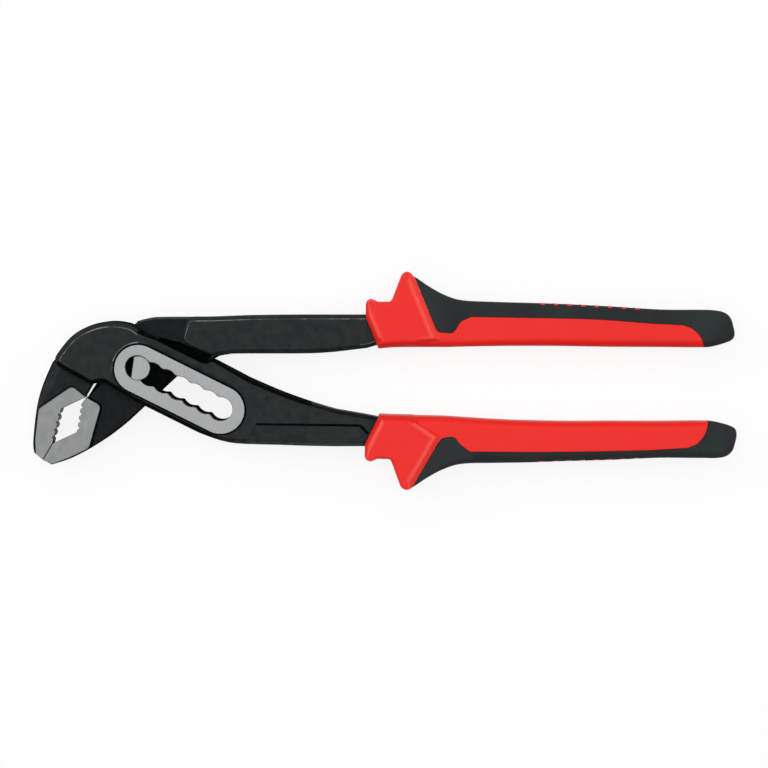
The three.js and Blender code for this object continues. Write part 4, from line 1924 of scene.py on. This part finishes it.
@dataclass
class Grip:
    """A hard core with a collar and a finger guard, and a soft cover over its outer edge.

    The cover's border runs down the guard line, round the foot, along the panel and round its end. A row of
    the bar's stations holds the inner edge, the outer edge, the half thickness and the outer rounding.
    """

    handle: Handle
    row: RowTree
    guard_line: np.ndarray
    foot_line: np.ndarray
    panel_line: np.ndarray
    end_line: np.ndarray
    boss_edge: np.ndarray
    inner_trim: np.ndarray = field(default_factory=lambda: plan((0, 0)))
    outer_trim: np.ndarray = field(default_factory=lambda: plan((0, 0)))
    longer: float = 0.0
    longer_from: float = 105.0
    longer_over: float = 15.0
    station_steps: int = 6
    collar: float = 8.65
    collar_at: float = -0.4
    peak_trim: float = 0.0
    back_corner: Pair = (2.3, 8.8)
    back_lap: float = 0.3
    back_edge: Pair = (3.0, 1.15)
    back_foot_edge: Pair = (3.0, 3.8)
    back_band: float = 1.3
    toe_edge: Pair = (3.0, 3.0)
    ridge_corner: float = 1.2
    lit_from: float = -4.4
    lit_below: float = 0.05
    plain_span: Pair = (2.8, 12.9)
    plain_from: float = 6.5
    guard_half: float = 8.0
    boss_spacing: float = 2.0
    inner_edge: float = 3.2
    outer_depth: float = 4.6
    edge_shares: Pair = (0.45, 0.85)
    line_corner: float = 0.7
    line_spacing: float = 60.0
    fit_gap: float = 0.15
    sleeve_wall: float = 1.2
    peg_count: int = 8
    peg_pitch: float = 4.8
    peg_start: float = 62.3
    peg_radius: float = 1.0
    peg_proud: float = 0.1
    peg_stretch: float = 6.5
    peg_half: float = 4.3
    peg_reach: float = 12.0
    peg_sides: int = 32
    stations: np.ndarray = field(
        default_factory=lambda: plan(
            (12.0, -7.4, 9.6, 10.0, 6.9, 1.2),
            (22.8, -7.4, 13.2, 17.4, 7.0, 1.2),
            (25.0, -7.4, 14.8, 18.8, 7.0, 1.2),
            (28.5, -7.4, 17.6, 17.2, 7.0, 1.4),
            (32.5, -7.3, 22.0, 14.2, 7.0, 1.9),
            (37.0, -7.2, 27.5, 11.2, 7.0, 2.8),
            (42.0, -7.1, 34.0, 9.2, 7.0, 3.8),
            (50.0, -7.0, 46.0, 8.6, 7.0, 4.6),
            (66.0, -7.0, 66.0, 8.0, 7.0, 4.6),
            (85.0, -7.3, 85.0, 7.1, 7.0, 4.6),
            (104.5, -7.4, 104.5, 5.9, 7.0, 4.2),
            (119.0, -7.5, 119.0, 5.8, 7.0, 3.4),
            (123.0, -7.1, 124.0, 5.6, 6.9, 3.3),
            (126.8, -6.1, 127.3, 4.8, 6.3, 3.0),
            (129.2, -5.3, 129.4, 3.0, 5.0, 2.4),
            (130.3, -4.6, 130.4, 0.0, 3.6, 1.8),
            (130.8, -3.8, 130.85, -1.6, 2.0, 1.0),
        )
    )

    @property
    def guard_way(self) -> np.ndarray:
        """Direction of the cover's line behind the guard, from the peak."""
        return heading(*self.guard_line[1:3])

    def section(self, station: np.ndarray, steps: int = 9) -> np.ndarray:
        """Points round the bar at one station.

        Args:
            station: Inner edge, outer edge, half thickness and width of the outer rounding.
            steps: Steps in each rounded corner.

        Returns:
            Rows of x, y and z.
        """
        low, high, half, outer = station[:2], station[2:4], station[4], station[5]
        across = high - low
        height = float(np.linalg.norm(across))
        widest, deepest = np.multiply(self.edge_shares, (height, half))
        inner, outer = min(self.inner_edge, widest), min(outer, widest)
        corners = ((1, 1, outer, self.outer_depth), (-1, 1, inner, self.inner_edge))
        corners += ((-1, -1, inner, self.inner_edge), (1, -1, outer, self.outer_depth))
        rows = []
        for quarter, (way, up, width, depth) in enumerate(corners):
            depth = min(depth, deepest)
            for angle in np.radians(np.linspace(90 * quarter, 90 * quarter + 90, steps + 1)):
                along = 0.5 + (way * (height / 2 - width) + width * math.cos(angle)) / height
                rows.append((*(low + across * along), up * (half - depth) + depth * math.sin(angle)))
        return np.array(rows)

    def bar(self) -> Solid:
        """The handle behind the guard, to its rounded end.

        Returns:
            The bar, in the handle's frame.
        """
        rows = smooth(self.stations, self.station_steps * (len(self.stations) - 1))
        rows[:, 1] += np.interp(rows[:, 0], *self.inner_trim.T)
        rows[:, 3] += np.interp(rows[:, 2], *self.outer_trim.T)
        rows[:, [0, 2]] += self.longer * np.clip((rows[:, :1] - self.longer_from) / self.longer_over, 0, 1)
        return Solid(MOULDING).loft([self.section(row) for row in rows], Finish.RED)

    def boss(self) -> Solid:
        """The collar and the guard, raised above the handle, with a slope at the front, back and sides.

        Returns:
            The boss, in the handle's frame.
        """
        nose, start = self.collar, self.collar_at
        front = plan((start, 3.4, 2.8, 1.6), (start, nose - 0.85, 1.4, 1.8))
        collar = plan(
            (start + 0.3, nose + 0.25, 0.8, 2.0),
            (1.2, nose + 1.05, 0.7, 2.0),
            (2.6, nose + 0.65, 0.8, 2.0),
            (3.8, nose, 1.1, 1.8),
        )
        guard = plan((8.4, nose + 0.05, 1.1, 1.8), (9.2, 10.1, 1.1, 1.8), (12.2, 17.9, 0.8, 1.8))
        peak = plan((12.8, 18.8, 0.5, 1.8), (14.3, 19.45, 0.4, 1.8), (15.8, 18.7, 0.6, 1.6))
        peak[:, 1] += self.peak_trim
        toe = edged(self.boss_edge[1::-1], *self.toe_edge)
        before = [front, smooth(collar, steps=10), guard, smooth(peak, steps=8)]
        loop = np.vstack([*before, self.back_slope(), toe])
        radii = np.where(loop[:, 2] < self.ridge_corner, self.ridge_corner, 0.0)
        rim = Rim(rounded(loop, radii), BOSS_EDGE)
        boss = Solid(MOULDING).relief([rim], level(self.guard_half), Finish.RED, self.boss_spacing)
        # Painted highlights come off unlit edges, and the lit back slope is painted paler.
        for ridge in (Finish.RED_HALF_LIGHT, Finish.RED_HIGHLIGHT):
            boss.repainted(ridge, Finish.RED, self.on_unlit_edge)
        return boss.repainted(Finish.RED, Finish.RED_HALF_LIGHT, self.on_back)

    def on_unlit_edge(self, at: Vector) -> bool:
        """Whether a place is on an edge that isn't lit: along the bar, or in front of the guard."""
        first, last = self.plain_span
        return at.y < self.lit_from or (first < at.x < last and at.y > self.plain_from)

    def on_back(self, at: Vector) -> bool:
        """Whether a place is on the slope behind the guard, which is lit.

        Args:
            at: The place.

        Returns:
            Whether it is.
        """
        behind = (np.array(at.xy) - self.guard_line[1]) @ left_of(self.guard_way)
        below = abs(at.z) < self.guard_half - self.lit_below
        return below and abs(behind) < self.back_band and at.y > self.lit_from

    def back_slope(self) -> np.ndarray:
        """The boss's border behind the guard: down its cover line and across its corner to the inner edge.

        Returns:
            Rows of x, y, inset and drop.
        """
        way, edge = self.guard_way, self.boss_edge[-1][1]
        start, stop = self.guard_line[1:3] - self.back_lap * left_of(way)
        rise, run = self.back_corner
        foot = stop + way * (edge + rise - self.guard_line[2][1]) / way[1]
        slope = edged(np.array([start, foot]), *self.back_edge)
        return np.vstack([slope, (foot[0] - run, edge, *self.back_foot_edge)])

    def cover_space(self, inset: float) -> Solid:
        """The part of the grip that the cover takes, through its whole thickness, moved in from its line.

        Args:
            inset: How far it is moved in.

        Returns:
            The space in the handle's frame.
        """
        far = Layout.beyond
        end = smooth(self.end_line, steps=14)
        tail = plan(end[-1] + (0.4, -6.0), (150.0, -14.0), (150.0, far), (14.0, far))
        foot, panel = smooth(self.foot_line, steps=16), smooth(self.panel_line, steps=12)
        line = np.vstack([self.guard_line, foot, panel, end, tail])
        border = spread(rounded(line, self.line_corner, steps=4), self.line_spacing)
        return Solid(MOULDING).prism(offset(facing_left(border), inset), -far, far, Finish.RED)

    def pegs(self, grow: float) -> Solid:
        """A row of bars across the grip's outer edge.

        Args:
            grow: How much they are grown all round.

        Returns:
            The bars, in the handle's frame.
        """
        far, half = Layout.beyond, self.peg_half + grow
        bars = self.row.solid(
            MOULDING,
            Finish.RED,
            Count=self.peg_count,
            Start=(self.peg_start, self.handle.tang[-1][2] + self.peg_reach / 2, 0.0),
            Step=(self.peg_pitch, 0.0, 0.0),
            Sides=self.peg_sides,
            Radius=self.peg_radius + grow,
            Length=self.peg_reach,
            Turn=(math.pi / 2, 0.0, 0.0),
            Stretch=(1.0, self.peg_stretch, 1.0),
        )
        last = self.peg_start + self.peg_pitch * self.peg_count
        slab = plan((0.0, -far), (last, -far), (last, far), (0.0, far))
        return bars.work(Work.KEEP, Solid(MOULDING).prism(slab, -half, half, Finish.RED))

    def build(self) -> tuple[Solid, Solid]:
        """Makes the grip.

        Returns:
            The core and the cover, in the handle's frame.
        """
        form = self.bar().work(Work.JOIN, self.boss())
        proud = form.copy()
        proud.thing.data.transform(Matrix.Translation((0, self.peg_proud, 0)))
        sleeve = partial(self.handle.tang_space, first=1)
        core = form.copy().work(Work.CUT, self.cover_space(-self.fit_gap / 2))
        core.work(Work.JOIN, sleeve(self.sleeve_wall).work(Work.KEEP, form.copy()))
        core.work(Work.JOIN, self.pegs(0.0).work(Work.KEEP, proud))
        core.work(Work.CUT, self.handle.tang_space(self.fit_gap, 0))
        cover = form.work(Work.KEEP, self.cover_space(self.fit_gap / 2))
        cover.work(Work.CUT, sleeve(self.sleeve_wall + self.fit_gap), self.pegs(self.fit_gap))
        return core, cover.painted([Finish.RUBBER], Finish.RUBBER)


def upper_grip(row: RowTree) -> Grip:
    """The grip on the inner lever."""
    return Grip(
        UPPER,
        row,
        guard_line=plan((14.6, 23.0), (17.1, 17.0), (24.6, -1.2), (25.6, -2.1)),
        foot_line=plan((30.1, -2.4), (31.4, -1.2), (33.4, 1.7), (37.0, 3.4)),
        panel_line=plan((60.0, 3.0), (80.6, 2.5), (100.9, 1.0)),
        end_line=plan((111.5, 0.5), (115.2, -0.8), (118.2, -3.8), (119.7, -7.6)),
        boss_edge=plan((4.1, -7.9), (9.0, -7.45), (25.0, -7.3)),
        longer=-0.05,
    )


def lower_grip(row: RowTree) -> Grip:
    """The grip on the slotted lever, whose cover is narrower."""
    return Grip(
        LOWER,
        row,
        guard_line=plan((14.0, 23.0), (17.1, 17.2), (25.2, 2.4), (26.6, 0.6)),
        foot_line=plan((30.0, -0.1), (31.4, 0.5), (33.3, 2.7), (36.6, 5.1)),
        panel_line=plan((60.0, 4.8), (80.6, 4.2), (100.9, 3.3)),
        end_line=plan((113.6, 2.2), (117.1, 0.7), (119.8, -2.8), (121.1, -7.2)),
        boss_edge=plan((4.3, -7.3), (9.0, -7.15), (25.0, -7.2)),
        inner_trim=plan((26, 0.35), (51, 0.9), (75, 1.0), (101, 0.7), (121, 0.25), (127, -0.15)),
        outer_trim=plan((12.5, 0.6), (54, 0.6), (70, 0.25), (92, 0.3), (112, 0.25), (119, 0.12), (131, 0.4)),
        longer=0.8,
        collar=8.35,
        collar_at=-0.65,
        peak_trim=-0.2,
        back_corner=(7.0, 10.2),
        peg_proud=0.0,
    )


@dataclass
class Bench:
    """The frame that the pieces are set in."""

    frame: Mapping[str, object]
    layout: Layout

    def origin(self) -> np.ndarray:
        """The first notch on the mid-plane, in the frame's metres."""
        hinge = next(joint for joint in self.frame["joints"] if joint["name"] == "lever_hinge")
        return np.array(hinge["pos_m"]) - MM * np.append(self.layout.pin_axis, 0.0)

    def place(self, points: np.ndarray) -> np.ndarray:
        """Points of the tool's plan, in the frame."""
        return points * MM + self.origin()

    def on_handle(self, handle: Handle) -> Placing:
        """Gives points of a handle's frame, in the frame."""
        return lambda points: self.place(handle.on_lever(points))

    def set_down(self, piece: bpy.types.Object, node: str, body: str, slot: str) -> None:
        """Lets a piece stand for a node on its body, and drops its unused materials.

        Args:
            piece: The finished piece.
            node: The node that it stands for.
            body: The body that it rides on.
            slot: Its material slot; not used.
        """
        last_used = max(face.material_index for face in piece.data.polygons)
        for unused in range(len(piece.data.materials) - 1, last_used, -1):
            piece.data.materials.pop(index=unused)
        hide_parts(node)
        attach(piece, body)
        faces = len(piece.data.polygons)
        LOG.info("%s: %d faces, rides on %s, stands for %s", piece.name, faces, body, node)


@dataclass(frozen=True)
class Lamp:
    """A square soft lamp that points at the tool's middle, in millimetres and watts."""

    name: str
    at: Triple
    size: float
    power: float

    def hang(self) -> None:
        """Puts the lamp in the scene."""
        light = bpy.data.lights.new(self.name, "AREA")
        light.shape = "SQUARE"
        light.size = self.size * MM
        light.energy = self.power
        lamp = in_scene(self.name, light)
        lamp.location = Vector(self.at) * MM
        lamp.rotation_euler = (-Vector(self.at)).to_track_quat("-Z", "Y").to_euler()


@dataclass(frozen=True)
class Studio:
    """Pale floor, soft light and the camera, in millimetres in the frame."""

    camera_at: Triple = (-0.02, 38.34, 1008.0)
    camera_aim: Triple = (-0.02, -1.24, 8.0)
    camera_range: float = 20000.0
    frame_width: float = 273.87
    sensor: float = 36.0
    floor_size: float = 6000.0
    floor_tone: float = 0.94
    floor_white: float = 0.86
    world_level: float = 0.10
    lamps: tuple[Lamp, ...] = (
        Lamp("front", (-200, 350, 1700), 3200, 50),
        Lamp("left", (-1300, 700, 900), 700, 5),
        Lamp("right", (1300, 300, 800), 700, 4),
    )

    def camera(self) -> None:
        """Sets the camera at the photograph's viewing angle."""
        data = bpy.data.cameras.new("camera")
        away = Vector(self.camera_aim) - Vector(self.camera_at)
        data.sensor_width = self.sensor
        data.lens = self.sensor * away.length / self.frame_width
        data.clip_end = self.camera_range * MM
        camera = in_scene("camera", data)
        camera.location = Vector(self.camera_at) * MM
        camera.rotation_euler = (math.atan2(away.y, -away.z), 0.0, 0.0)
        bpy.context.scene.camera = camera

    def floor(self) -> None:
        """Lays a floor that looks white and keeps a faint shadow of the tool."""
        half = self.floor_size * MM / 2
        corners = [(x * half, y * half, 0) for x, y in ((-1, -1), (1, -1), (1, 1), (-1, 1))]
        mesh = bpy.data.meshes.new("floor")
        mesh.from_pydata(corners, [], [(0, 1, 2, 3)])
        floor = in_scene("floor", mesh)
        shader = Shader("floor")
        rays = ("Camera", "Glossy", "Transmission")
        camera, glossy, passed = (shader.node("LightPath", output=f"Is {ray} Ray") for ray in rays)
        paint = shader.node("BsdfDiffuse", None, {"Color": (self.floor_tone,) * 3 + (1.0,)})
        white = shader.node("Emission", None, {"Color": (1.0, 1.0, 1.0, 1.0), "Strength": 1.0})
        share = (camera + glossy + passed) * self.floor_white
        surface = shader.node("MixShader", None, {0: share, 1: paint, 2: white})
        mesh.materials.append(shader.ended(surface))

    def world(self) -> None:
        """Fills the room with even light."""
        world = bpy.data.worlds.new("room")
        world.use_nodes = True
        light = world.node_tree.nodes["Background"].inputs
        light["Color"].default_value = (1, 1, 1, 1)
        light["Strength"].default_value = self.world_level
        bpy.context.scene.world = world

    def set_up(self) -> None:
        """Sets up the floor, the room, the lamps and the camera."""
        self.floor()
        self.world()
        for lamp in self.lamps:
            lamp.hang()
        self.camera()
        bpy.context.scene.view_settings.view_transform = "Standard"


def main() -> None:
    """Builds the pliers piece by piece, then the studio."""
    logging.basicConfig(level=logging.INFO, format="%(message)s")
    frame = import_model()
    layout, jaws = Layout(), Jaws()
    for finish, recipe in FINISHES.items():
        recipe.material(finish)
    bench, row = Bench(frame, layout), RowTree()

    slotted = SlottedLever(layout, jaws, row).build()
    piece = slotted.finished("slotted_lever_forging", bench.place, STEEL_CREASE)
    bench.set_down(piece, "slotted_lever", "slotted_lever", "forged_steel")
    inner = InnerLever(layout, jaws, row).build()
    piece = inner.finished("inner_lever_forging", bench.place, STEEL_CREASE)
    bench.set_down(piece, "inner_lever", "inner_lever", "forged_steel")
    piece = PivotPin(layout).build().finished("flatted_pin", bench.place, STEEL_CREASE)
    bench.set_down(piece, "pivot_pin", "pivot", "ground_steel")

    grips = (("upper", "inner_lever", upper_grip(row)), ("lower", "slotted_lever", lower_grip(row)))
    for name, body, grip in grips:
        core, cover = grip.build()
        on_lever = bench.on_handle(grip.handle)
        piece = core.finished(f"{name}_grip_moulding", on_lever, GRIP_CREASE)
        bench.set_down(piece, f"{name}_grip_core", body, "red_plastic")
        piece = cover.finished(f"{name}_grip_soft_cover", on_lever, GRIP_CREASE)
        bench.set_down(piece, f"{name}_grip_cover", body, "black_rubber")

    Studio().set_up()


if __name__ == "__main__":
    main()
